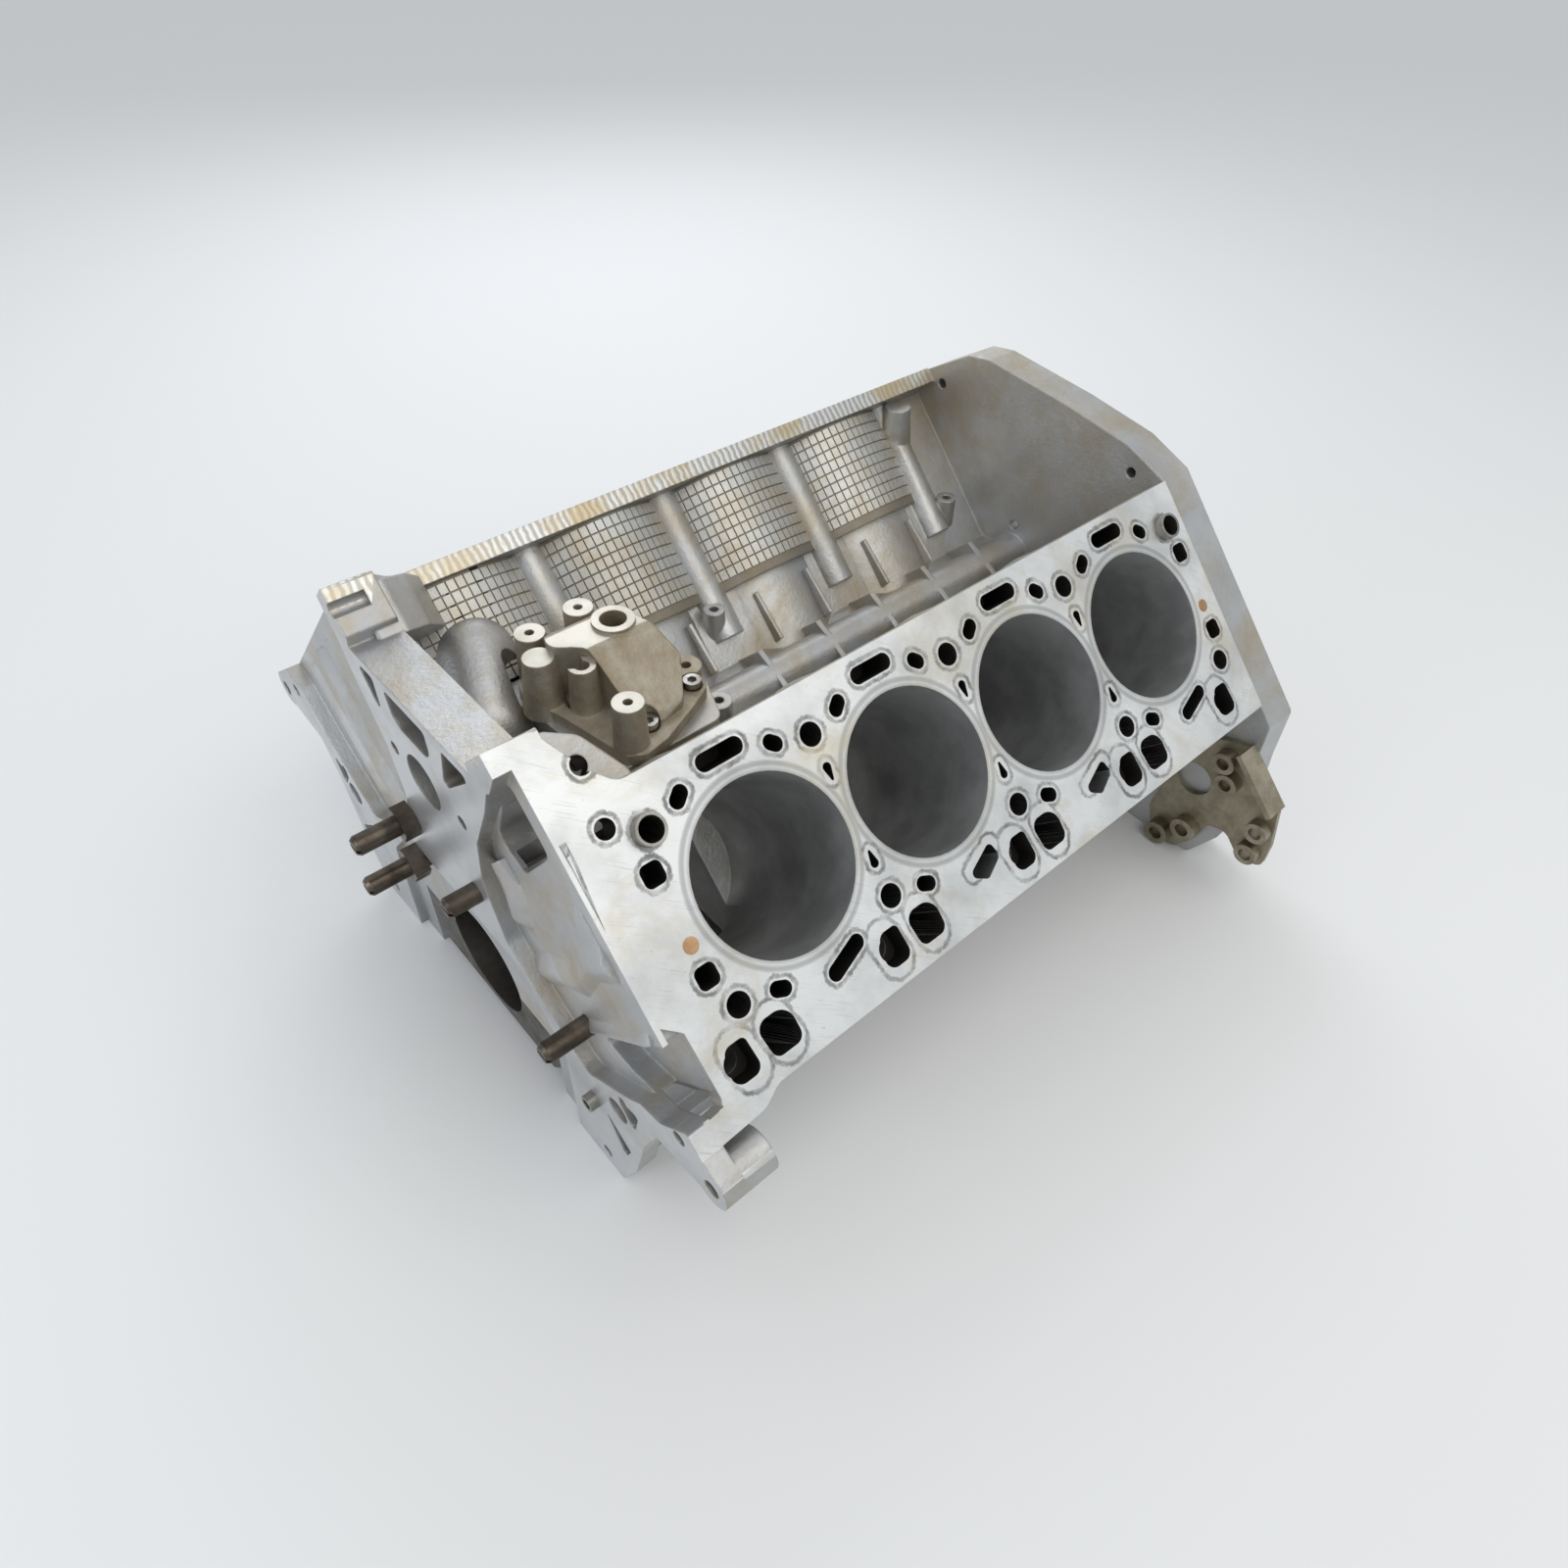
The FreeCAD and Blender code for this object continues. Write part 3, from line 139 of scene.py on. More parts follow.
def set_out(name, points, size, material):
    """Sets one block on every point, turned to its directions, and returns a plain mesh."""
    tree = bpy.data.node_groups.new(name, "GeometryNodeTree")
    tree.interface.new_socket("Points", in_out="INPUT", socket_type="NodeSocketGeometry")
    for key in BLOCK_SIZE_KEYS:
        tree.interface.new_socket(key, in_out="INPUT", socket_type="NodeSocketFloat")
    tree.interface.new_socket("Mesh", in_out="OUTPUT", socket_type="NodeSocketGeometry")
    start = tree.nodes.new("NodeGroupInput")
    end = tree.nodes.new("NodeGroupOutput")
    join = tree.nodes.new("ShaderNodeCombineXYZ")
    for index, key in enumerate(BLOCK_SIZE_KEYS):
        tree.links.new(start.outputs[key], join.inputs[index])
    cube = tree.nodes.new("GeometryNodeMeshCube")
    tree.links.new(join.outputs[0], cube.inputs["Size"])
    turns = []
    for key, axis, pivot in (("aim", "Z", "AUTO"), ("up", "Y", "Z")):
        named = tree.nodes.new("GeometryNodeInputNamedAttribute")
        named.data_type = "FLOAT_VECTOR"
        named.inputs["Name"].default_value = key
        align = tree.nodes.new("FunctionNodeAlignRotationToVector")
        align.axis = axis
        align.pivot_axis = pivot
        tree.links.new(named.outputs["Attribute"], align.inputs["Vector"])
        if turns:
            tree.links.new(turns[-1].outputs[0], align.inputs["Rotation"])
        turns.append(align)
    place = tree.nodes.new("GeometryNodeInstanceOnPoints")
    tree.links.new(start.outputs["Points"], place.inputs["Points"])
    tree.links.new(cube.outputs["Mesh"], place.inputs["Instance"])
    tree.links.new(turns[-1].outputs[0], place.inputs["Rotation"])
    real = tree.nodes.new("GeometryNodeRealizeInstances")
    tree.links.new(place.outputs[0], real.inputs[0])
    paint = tree.nodes.new("GeometryNodeSetMaterial")
    paint.inputs["Material"].default_value = material
    tree.links.new(real.outputs[0], paint.inputs["Geometry"])
    tree.links.new(paint.outputs[0], end.inputs[0])
    carrier = new_object(name + "_points", points)
    modifier = carrier.modifiers.new("set_out", "NODES")
    modifier.node_group = tree
    for item in tree.interface.items_tree:
        if item.in_out == "INPUT" and item.name in BLOCK_SIZE_KEYS:
            modifier[item.identifier] = size[BLOCK_SIZE_KEYS.index(item.name)]
    seen = carrier.evaluated_get(bpy.context.evaluated_depsgraph_get())
    mesh = bpy.data.meshes.new_from_object(seen)
    carrier.modifiers.clear()
    bpy.data.objects.remove(carrier)
    mesh.name = name
    return mesh


class Shader:
    """A material's node tree; every node is added by one function."""

    def __init__(self, name):
        self.material = bpy.data.materials.new(name)
        self.material.use_nodes = True
        self.tree = self.material.node_tree
        self.tree.nodes.clear()
        self.output = self.node("ShaderNodeOutputMaterial")
        self.surface = self.node("ShaderNodeBsdfPrincipled")
        self.tree.links.new(self.surface.outputs[0], self.output.inputs[0])
        self.place = self.node("ShaderNodeTexCoord").outputs["Object"]

    def node(self, kind, inputs=None, **settings):
        """Adds a node; an input is a value or another node's output."""
        added = self.tree.nodes.new(kind)
        for key, value in settings.items():
            setattr(added, key, value)
        for key, value in (inputs or {}).items():
            if isinstance(value, bpy.types.NodeSocket):
                self.tree.links.new(value, added.inputs[key])
            else:
                added.inputs[key].default_value = value
        return added

    def math(self, operation, first, second=0.0):
        return self.node("ShaderNodeMath", {0: first, 1: second}, operation=operation).outputs[0]

    def blend(self, factor, first, second):
        return self.node("ShaderNodeMix", {0: factor, 6: first, 7: second}, data_type="RGBA").outputs[2]

    def noise(self, scale, detail=4.0, rough=0.55, vector=None, distortion=0.0):
        inputs = {"Vector": vector or self.place, "Scale": scale, "Detail": detail, "Roughness": rough,
                  "Distortion": distortion}
        return self.node("ShaderNodeTexNoise", inputs).outputs[0]

    def ramp(self, value, stops):
        """Grey or coloured steps along a value: a list of place and colour."""
        node = self.node("ShaderNodeValToRGB", {0: value})
        band = node.color_ramp
        while len(band.elements) < len(stops):
            band.elements.new(0.5)
        for element, (place, shade) in zip(band.elements, stops):
            element.position = place
            element.color = (shade, shade, shade, 1) if isinstance(shade, (int, float)) else shade
        return node.outputs[0]

    def bevel(self, radius):
        return self.node("ShaderNodeBevel", {"Radius": radius}, samples=4).outputs[0]

    def bump(self, height, distance, strength=1.0, normal=None):
        inputs = {"Height": height, "Distance": distance, "Strength": strength}
        if normal is not None:
            inputs["Normal"] = normal
        return self.node("ShaderNodeBump", inputs).outputs[0]

    def set(self, **values):
        for key, value in values.items():
            socket = self.surface.inputs[key.replace("_", " ")]
            if isinstance(value, bpy.types.NodeSocket):
                self.tree.links.new(value, socket)
            else:
                socket.default_value = value
        return self


def bank_coordinates(shade):
    """Along the crank from the first bore, across the deck, and the side of a point."""
    split = shade.node("ShaderNodeSeparateXYZ", {0: shade.place})
    far = shade.math("GREATER_THAN", split.outputs[1], 0.0)
    along = shade.math("SUBTRACT", split.outputs[0], FIRST_NEAR)
    along = shade.math("ADD", along, shade.math("MULTIPLY", far, BANK_OFFSET))
    span = shade.math("ABSOLUTE", split.outputs[1])
    across = shade.math("MULTIPLY", shade.math("SUBTRACT", span, split.outputs[2]), math.sqrt(0.5))
    height = shade.math("MULTIPLY", shade.math("ADD", span, split.outputs[2]), math.sqrt(0.5))
    return along, across, height, far


# ------------------------------------------------------------------ finishes

def cast_skin(name, base, light, stain, grain=520.0, depth=0.00035, rough=0.42, tan=0.5, edge=0.0016):
    """Aluminium poured in a sand-faced mould: a fine pebbled skin, rounded edges and,
    where oil and damp have sat, a tan oxide film."""
    shade = Shader(name)
    cloud = shade.noise(9.0, 5.0, 0.6)
    colour = shade.blend(shade.ramp(cloud, [(0.35, 0.0), (0.65, 1.0)]), linear(base), linear(light))
    film = shade.noise(14.0, 7.0, 0.68, distortion=0.4)
    spread = shade.math("MULTIPLY", shade.ramp(film, [(0.5, 0.0), (0.68, 1.0)]), tan)
    colour = shade.blend(spread, colour, linear(stain))
    split = shade.node("ShaderNodeSeparateXYZ", {0: shade.place})
    inside = shade.math("MULTIPLY", shade.math("GREATER_THAN", split.outputs[2], 0.088),
                        shade.math("LESS_THAN", shade.math("ABSOLUTE", split.outputs[1]), 0.118))
    dust = shade.ramp(shade.noise(34.0, 7.0, 0.72), [(0.4, 0.0), (0.62, 0.62)])
    settled = shade.math("MULTIPLY", shade.math("MULTIPLY", inside, dust), tan)
    colour = shade.blend(settled, colour, linear(stain))
    pebble = shade.noise(grain, 3.0, 0.6)
    lump = shade.noise(60.0, 3.0, 0.5)
    height = shade.math("ADD", pebble, shade.math("MULTIPLY", lump, 1.6))
    normal = shade.bump(height, depth, 0.5, shade.bevel(edge))
    gloss = shade.ramp(film, [(0.3, rough), (0.75, rough + 0.18)])
    return shade.set(Base_Color=colour, Metallic=0.85, Roughness=gloss, Normal=normal).material


def milled_face(name, base, dull, stain, angle=38.0, rough=0.33, tan=0.35):
    """Aluminium faced with a fly cutter: fine parallel tool lines and a little dried sealant and oxide."""
    shade = Shader(name)
    turned = shade.node("ShaderNodeMapping",
                        {"Vector": shade.place, "Rotation": (0.0, 0.0, math.radians(angle))})
    lines = shade.node("ShaderNodeTexWave", {"Vector": turned.outputs[0], "Scale": 900.0, "Distortion": 1.2,
                                             "Detail": 2.0, "Detail Scale": 0.6}).outputs[1]
    cloud = shade.noise(16.0, 6.0, 0.65)
    colour = shade.blend(shade.ramp(cloud, [(0.42, 0.0), (0.62, 1.0)]), linear(base), linear(dull))
    film = shade.noise(22.0, 8.0, 0.7, distortion=0.6)
    spread = shade.math("MULTIPLY", shade.ramp(film, [(0.56, 0.0), (0.72, 1.0)]), tan)
    colour = shade.blend(spread, colour, linear(stain))
    normal = shade.bump(lines, 0.00004, 0.35, shade.bevel(0.0006))
    return shade.set(Base_Color=colour, Metallic=0.75, Roughness=rough, Normal=normal).material


def nearest_bore(shade, along):
    """How far a point lies along the crank from the nearest of the four bores."""
    number = shade.math("ROUND", shade.math("DIVIDE", along, PITCH))
    number = shade.math("MINIMUM", shade.math("MAXIMUM", number, 0.0), 3.0)
    return shade.math("SUBTRACT", along, shade.math("MULTIPLY", number, PITCH))


def length_of(shade, first, second):
    """The length of a vector from its two parts."""
    squares = [shade.math("MULTIPLY", part, part) for part in (first, second)]
    return shade.math("SQRT", shade.math("ADD", *squares))


def hole_field(shade, along, across, holes):
    """How far a deck point is from the nearest of these slots, in metres. A hole is its
    place along and across, its half length and radius, its tilt, and whether it repeats."""
    cell = nearest_bore(shade, along)
    nearest = None
    for u, v, half, radius, tilt, repeats in holes:
        pu = shade.math("SUBTRACT", cell if repeats else along, u)
        pv = shade.math("SUBTRACT", across, v)
        c, s = math.cos(math.radians(tilt)), math.sin(math.radians(tilt))
        lx = shade.math("ADD", shade.math("MULTIPLY", pu, c), shade.math("MULTIPLY", pv, s))
        ly = shade.math("SUBTRACT", shade.math("MULTIPLY", pv, c), shade.math("MULTIPLY", pu, s))
        past = shade.math("MAXIMUM", shade.math("SUBTRACT", shade.math("ABSOLUTE", lx), half), 0.0)
        gap = shade.math("SUBTRACT", length_of(shade, past, ly), radius)
        nearest = gap if nearest is None else shade.math("MINIMUM", nearest, gap)
    return nearest


DECK_HOLES = [
    (0.0, -0.0585, 0.009, 0.0045, 0, True), (-0.028, -0.0507, 0.002, 0.004, -40, True),
    (0.028, -0.0505, 0.0015, 0.004, 40, True), (-0.027, 0.0506, 0.002, 0.004, 25, True),
    (0.011, 0.0572, 0.0092, 0.0042, -20, True), (-0.06575, -0.0545, 0.0, 0.005, 0, False),
    (-0.059, 0.0675, 0.006, 0.0085, 80, False),
    (-0.06175, -0.084, 0.0, 0.005, 0, False),
    (0.049, -0.0245, 0.003, 0.0028, 90, False), (0.147, -0.0245, 0.003, 0.0028, 90, False),
    (0.245, -0.0245, 0.003, 0.0028, 90, False), (0.049, 0.024, 0.003, 0.0028, 90, False),
    (0.147, 0.024, 0.003, 0.0028, 90, False), (0.245, 0.024, 0.003, 0.0028, 90, False),
    (-0.037, 0.067, 0.006, 0.0085, 80, True), (0.035, 0.067, 0.006, 0.0085, 80, True),
    (0.049, -0.045, 0.0, 0.0065, 0, True), (-0.049, -0.045, 0.0, 0.0065, 0, True),
    (0.049, 0.045, 0.0, 0.0065, 0, True), (-0.049, 0.045, 0.0, 0.0065, 0, True),
    (-0.056, -0.0265, 0.0, 0.006, 0, False), (-0.056, 0.02575, 0.0, 0.006, 0, False),
    (0.3485, -0.0265, 0.0, 0.006, 0, False), (0.3485, 0.02575, 0.0, 0.006, 0, False),
]


def gasket_deck(name):
    """The head joint face: fly-cut aluminium, bright where the gasket sealed, with grey
    rough imprints of its beads round every passage and bore, and fine oxide specks."""
    shade = Shader(name)
    along, across, _, _ = bank_coordinates(shade)
    gap = hole_field(shade, along, across, DECK_HOLES)
    ragged = shade.math("MULTIPLY", shade.math("SUBTRACT", shade.noise(260.0, 6.0, 0.7), 0.5), 0.0042)
    gap = shade.math("ADD", gap, ragged)
    bead = shade.math("ABSOLUTE", shade.math("SUBTRACT", gap, 0.0021))
    halo = shade.ramp(shade.math("MULTIPLY", bead, 400.0), [(0.0, 1.0), (0.3, 0.85), (0.6, 0.0)])
    cell = nearest_bore(shade, along)
    reach = length_of(shade, cell, across)
    ring = shade.math("ABSOLUTE", shade.math("SUBTRACT", reach, 0.0482))
    ring = shade.ramp(shade.math("MULTIPLY", ring, 500.0), [(0.0, 1.0), (0.5, 0.75), (1.0, 0.0)])
    lip = shade.math("MULTIPLY", shade.math("SUBTRACT", reach, BORE_RADIUS), 300.0)
    lip = shade.ramp(lip, [(0.0, 1.0), (0.5, 0.35), (1.0, 0.0)])
    worn = shade.ramp(shade.noise(90.0, 6.0, 0.7), [(0.35, 0.25), (0.6, 1.0)])
    halo = shade.math("MULTIPLY", halo, worn)
    mark = shade.math("MAXIMUM", halo, shade.math("MULTIPLY", shade.math("MAXIMUM", ring, lip), 0.55))
    vector = shade.node("ShaderNodeCombineXYZ", {0: along, 1: across}).outputs[0]
    turned = shade.node("ShaderNodeMapping", {"Vector": vector, "Rotation": (0.0, 0.0, math.radians(52))})
    lines = shade.node("ShaderNodeTexWave", {"Vector": turned.outputs[0], "Scale": 420.0, "Distortion": 0.6,
                                             "Detail": 2.0, "Detail Scale": 0.5}).outputs[1]
    streak = shade.node("ShaderNodeMapping", {"Vector": turned.outputs[0], "Scale": (1.0, 0.04, 1.0)})
    scratch = shade.noise(900.0, 3.0, 0.7, streak.outputs[0])
    cloud = shade.noise(24.0, 6.0, 0.6)
    base = shade.blend(shade.ramp(cloud, [(0.4, 0.0), (0.66, 1.0)]), linear("E3E4E3"), linear("C6C7C6"))
    base = shade.blend(shade.ramp(scratch, [(0.58, 0.0), (0.72, 0.5)]), base, linear("AEB0B0"))
    colour = shade.blend(shade.math("MULTIPLY", mark, 0.85), base, linear("5E5F5C"))
    film = shade.ramp(shade.noise(13.0, 7.0, 0.7, distortion=0.8), [(0.5, 0.0), (0.66, 0.55)])
    colour = shade.blend(film, colour, linear("C4B797"))
    speck = shade.ramp(shade.noise(420.0, 4.0, 0.7), [(0.64, 0.0), (0.7, 1.0)])
    rust = shade.math("MULTIPLY", speck, shade.ramp(shade.noise(20.0), [(0.5, 0.0), (0.62, 0.7)]))
    colour = shade.blend(rust, colour, linear("A98A5E"))
    rough = shade.math("ADD", 0.4, shade.math("MULTIPLY", mark, 0.2))
    height = shade.math("SUBTRACT", shade.math("MULTIPLY", lines, 0.3), shade.math("MULTIPLY", mark, 0.6))
    normal = shade.bump(height, 0.00008, 0.4, shade.bevel(0.0006))
    return shade.set(Base_Color=colour, Metallic=0.55, Roughness=rough, Normal=normal).material


def ticked_band(name):
    """The skimmed inner edge of a deck: short upright tool marks with oxide between them."""
    shade = Shader(name)
    marks = shade.node("ShaderNodeTexWave", {"Vector": shade.place, "Scale": 70.0, "Distortion": 3.0,
                                             "Detail": 4.0, "Detail Scale": 2.0},
                       bands_direction="X").outputs[1]
    colour = shade.blend(shade.ramp(marks, [(0.2, 0.0), (0.7, 1.0)]), linear("ABAAA5"), linear("D6D6D2"))
    film = shade.ramp(shade.noise(26.0, 7.0, 0.7), [(0.44, 0.0), (0.6, 0.8)])
    colour = shade.blend(film, colour, linear("B9A680"))
    normal = shade.bump(marks, 0.0002, 0.5, shade.bevel(0.0009))
    return shade.set(Base_Color=colour, Metallic=0.7, Roughness=0.36, Normal=normal).material


def honed_bore(name):
    """Cylinder walls honed and run: dark satin with a faint crosshatch and a few rust freckles."""
    shade = Shader(name)
    along, across, height, _ = bank_coordinates(shade)
    shift = shade.math("MULTIPLY", shade.math("ROUND", shade.math("DIVIDE", along, PITCH)), PITCH)
    cell = shade.math("SUBTRACT", along, shift)
    turn = shade.math("ARCTAN2", cell, across)
    around = shade.math("MULTIPLY", turn, 260.0)
    upward = shade.math("MULTIPLY", height, 9000.0)
    first = shade.math("SINE", shade.math("ADD", around, upward))
    second = shade.math("SINE", shade.math("SUBTRACT", around, upward))
    hatch = shade.math("MULTIPLY", shade.math("ADD", first, second), 0.25)
    cloud = shade.noise(30.0, 5.0, 0.6)
    base = shade.blend(shade.ramp(cloud, [(0.4, 0.0), (0.6, 1.0)]), linear("A6A7A6"), linear("BDBEBD"))
    speck = shade.ramp(shade.noise(170.0, 6.0, 0.75), [(0.66, 0.0), (0.72, 1.0)])
    rust = shade.math("MULTIPLY", speck, shade.ramp(shade.noise(11.0), [(0.52, 0.0), (0.6, 1.0)]))
    colour = shade.blend(rust, base, linear("7A4E2C"))
    normal = shade.bump(hatch, 0.00002, 0.3)
    return shade.set(Base_Color=colour, Metallic=0.6, Roughness=0.4, Normal=normal).material


def turned_steel(name, base, dark, rough=0.3, amount=0.4, metal=1.0):
    """Steel turned on a lathe and handled for years: satin, with darker oil-stained patches."""
    shade = Shader(name)
    cloud = shade.noise(70.0, 5.0, 0.65)
    colour = shade.blend(shade.ramp(cloud, [(0.38, 0.0), (0.62, 1.0)]), linear(base), linear(dark))
    stain = shade.ramp(shade.noise(160.0, 6.0, 0.7), [(0.56, 0.0), (0.68, 1.0)])
    colour = shade.blend(shade.math("MULTIPLY", stain, amount), colour, linear("6B4A31"))
    gloss = shade.ramp(cloud, [(0.3, rough), (0.7, rough + 0.15)])
    normal = shade.bump(shade.noise(700.0, 3.0), 0.00005, 0.35, shade.bevel(0.0005))
    return shade.set(Base_Color=colour, Metallic=metal, Roughness=gloss, Normal=normal).material


def plain_ground(name, colour):
    """A matt painted studio floor, rolled in one plain coat."""
    shade = Shader(name)
    return shade.set(Base_Color=(*colour, 1.0), Roughness=0.8).material


FINISHES = {}


def finish(name):
    """The finish of this name, made the first time it is asked for."""
    makers = {
        "cast": lambda: cast_skin("cast_aluminium", "ABACAD", "C6C7C7", "AD9C7B", 460.0, 0.0006, 0.38, 0.6),
        # The pocket finish is near-black cast skin: painted shade inside the deck slots and pockets, with a
        # little real tan stain.
        "pocket": lambda: cast_skin("painted_shade_passage", "2E2D2B", "3C3A37", "4A3F31",
                                    460.0, 0.0004, 0.6, 0.5),
        # The groove finish is darker cast skin: painted shade in the grooves between the wall pads, plus a
        # real tan stain.
        "groove": lambda: cast_skin("grid_ground_painted_shade", "8A877F", "9D998F", "8C7B5C", 460.0, 0.0004, 0.55, 0.7),
        "band": lambda: ticked_band("ticked_band"),
        "deck": lambda: gasket_deck("gasket_deck"),
        "pad": lambda: cast_skin("cast_pads", "BBBBB8", "CFCFCB", "B5A587", 900.0, 0.0004, 0.4, 0.7, 0.0005),
        "milled": lambda: milled_face("milled_aluminium", "C9CBCC", "B2B4B5", "B39C74"),
        "bore": lambda: honed_bore("honed_bore"),
        "line_bore": lambda: turned_steel("line_bored_aluminium", "8E8C88", "6E6A64", 0.24, amount=0.5),
        "sand": lambda: cast_skin("sand_cast_housing", "B3AC9E", "C6C1B5", "8F7C5C",
                                  620.0, 0.0009, 0.52, 0.75),
        "boss_top": lambda: milled_face("machined_boss_tops", "C2BDB2", "A8A294", "8F7C5C",
                                        20.0, 0.4, tan=0.5),
        "iron": lambda: turned_steel("machined_iron", "6C6964", "55524D", 0.4, amount=0.5),
        "bolt": lambda: turned_steel("black_bolt_steel", "4A4947", "373634", 0.42),
        "pin": lambda: turned_steel("pin_steel", "6E655A", "4C463F", 0.28, amount=0.5),
        "sleeve": lambda: turned_steel("sleeve_steel", "A5A29B", "85827C", 0.3),
        "screw": lambda: turned_steel("screw_steel", "A8A59E", "8A8780", 0.3),
        "brass": lambda: turned_steel("deck_plug_brass", "C7A37C", "A98562", 0.35, amount=0.25),
        "zinc": lambda: turned_steel("zinc_plate", "B1AC9C", "97917F", 0.36, amount=0.3),
        "bracket": lambda: turned_steel("bracket_olive", "A79F8B", "8F8774", 0.38, amount=0.3, metal=0.7),
        "bracket_bolt": lambda: turned_steel("bracket_bolt_olive", "ABA392", "8E8675", 0.34, amount=0.3),
    }
    if name not in FINISHES:
        FINISHES[name] = makers[name]()
    return FINISHES[name]


def dressed_copy(node, name, sort_face, names):
    """A piece that stands for a CAD node, with each face given one of these finishes."""
    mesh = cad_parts[node].data.copy()
    mesh.name = name
    clean_mesh(mesh, CREASE_DEGREES)
    mesh.materials.clear()
    for key in names:
        mesh.materials.append(finish(key))
    for face in mesh.polygons:
        face.material_index = names.index(sort_face(face.center, face.normal))
    piece = new_object(name, mesh)
    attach(piece, "root")
    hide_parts(node)
    return piece


def dress_node(node, key):
    """Gives a CAD node that keeps its own shape one finish."""
    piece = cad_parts[node]
    if not piece.material_slots:
        piece.data.materials.append(None)
    for slot in piece.material_slots:
        slot.link = "OBJECT"
        slot.material = finish(key)


def in_passage(along, across):
    """Whether a deck point lies in one of the slots and pockets or on its wall."""
    cell = along - min(BORE_COUNT - 1, max(0, round(along / PITCH))) * PITCH
    for u, v, half, radius, tilt, repeats in DECK_HOLES:
        pu, pv = (cell if repeats else along) - u, across - v
        c, s = math.cos(math.radians(tilt)), math.sin(math.radians(tilt))
        lx, ly = pu * c + pv * s, pv * c - pu * s
        if math.hypot(max(abs(lx) - half, 0.0), ly) < radius + 0.0025:
            return True
    return False


def block_face(centre, normal):
    """Which finish a face of the block has, from where it lies and where it points."""
    across, height = across_deck(centre.y, centre.z)
    side = 1 if centre.y > 0 else -1
    outward = Vector((0, side, 1)).normalized()
    if height > DECK_HEIGHT - 0.0004 and normal.dot(outward) > 0.99:
        return "deck"
    start = FIRST_NEAR - (BANK_OFFSET if side > 0 else 0)
    cell = centre.x - start
    number = min(BORE_COUNT - 1, max(0, round(cell / PITCH)))
    inward = Vector((number * PITCH - cell, 0, 0)) - Vector((0, side, -1)).normalized() * across
    # Walls and floors of the deck slots and pockets take the near-black pocket finish: painted shade in these
    # recesses.
    if DECK_HEIGHT - 0.03 < height < DECK_HEIGHT - 0.0004:
        if abs(normal.dot(outward)) < 0.3 and in_passage(cell, across):
            return "pocket"
    if 0.3 < normal.dot(outward) and DECK_HEIGHT - 0.08 < height < DECK_HEIGHT - 0.011:
        if in_passage(cell, across):
            return "pocket"
    inner = Vector((0, -side, 1)).normalized()
    if normal.dot(inner) > 0.98 and height > DECK_HEIGHT - 0.0112 and across < -0.0695:
        return "band"
    axle = cell - number * PITCH
    # Cylinder bulge faces behind the pad grid take the darker groove finish: painted shade between the pads.
    if abs(math.hypot(axle, across) - JACKET_RADIUS) < 0.0006 and across < 0 and 0.131 < height < 0.2035:
        return "groove"
    if inward.length < BORE_RADIUS + 0.0004 and height > BORE_FOOT - 0.001 and abs(normal.dot(outward)) < 0.1:
        if normal.dot(inward) > 0:
            return "bore"
    if math.hypot(centre.y, centre.z) < LINE_RADIUS + 0.0004:
        return "line_bore"
    if abs(normal.x) > 0.99 and (centre.x < 0.0004 or centre.x > BOX_HIGH.x - 0.0004):
        return "milled"
    if abs(normal.z) > 0.99 and centre.z < BOX_LOW.z + 0.0006:
        return "milled"
    return "cast"


# ------------------------------------------------------------------ settings

class BlockSettings(bpy.types.PropertyGroup):
    pad_size: bpy.props.FloatProperty(
        name="Pad size", description="Width of one raised pad of the cylinder wall grid",
        default=0.0047, min=0.001, max=0.02, unit="LENGTH")
    pad_height: bpy.props.FloatProperty(
        name="Pad height", description="How far the pads stand from the cylinder wall",
        default=0.0012, min=0.0001, max=0.003, unit="LENGTH")
    pad_groove: bpy.props.FloatProperty(
        name="Pad groove", description="Gap between two pads",
        default=0.0007, min=0.0002, max=0.005, unit="LENGTH")


class StageSettings(bpy.types.PropertyGroup):
    key_power: bpy.props.FloatProperty(
        name="Key light", description="Power of the large soft light", default=9.0, min=0.0, max=500.0)
    fill_power: bpy.props.FloatProperty(
        name="Fill light", description="Power of the side light", default=6.0, min=0.0, max=500.0)
    floor_colour: bpy.props.FloatVectorProperty(
        name="Floor", description="Colour of the floor", subtype="COLOR", size=3,
        default=linear("E6E6E5")[:3], min=0.0, max=1.0)


# ------------------------------------------------------------------ operators

class EngineBlockCasting(bpy.types.Operator):
    """Dress the block casting: gasket decks, milled ends, honed bores and cast skin"""
    bl_idname = "engine_block.casting"
    bl_label = "Block casting"

    def execute(self, context):
        dressed_copy("block_casting", "block_body", block_face,
                     ["cast", "deck", "milled", "bore", "line_bore", "pocket", "band", "groove"])
        return {"FINISHED"}


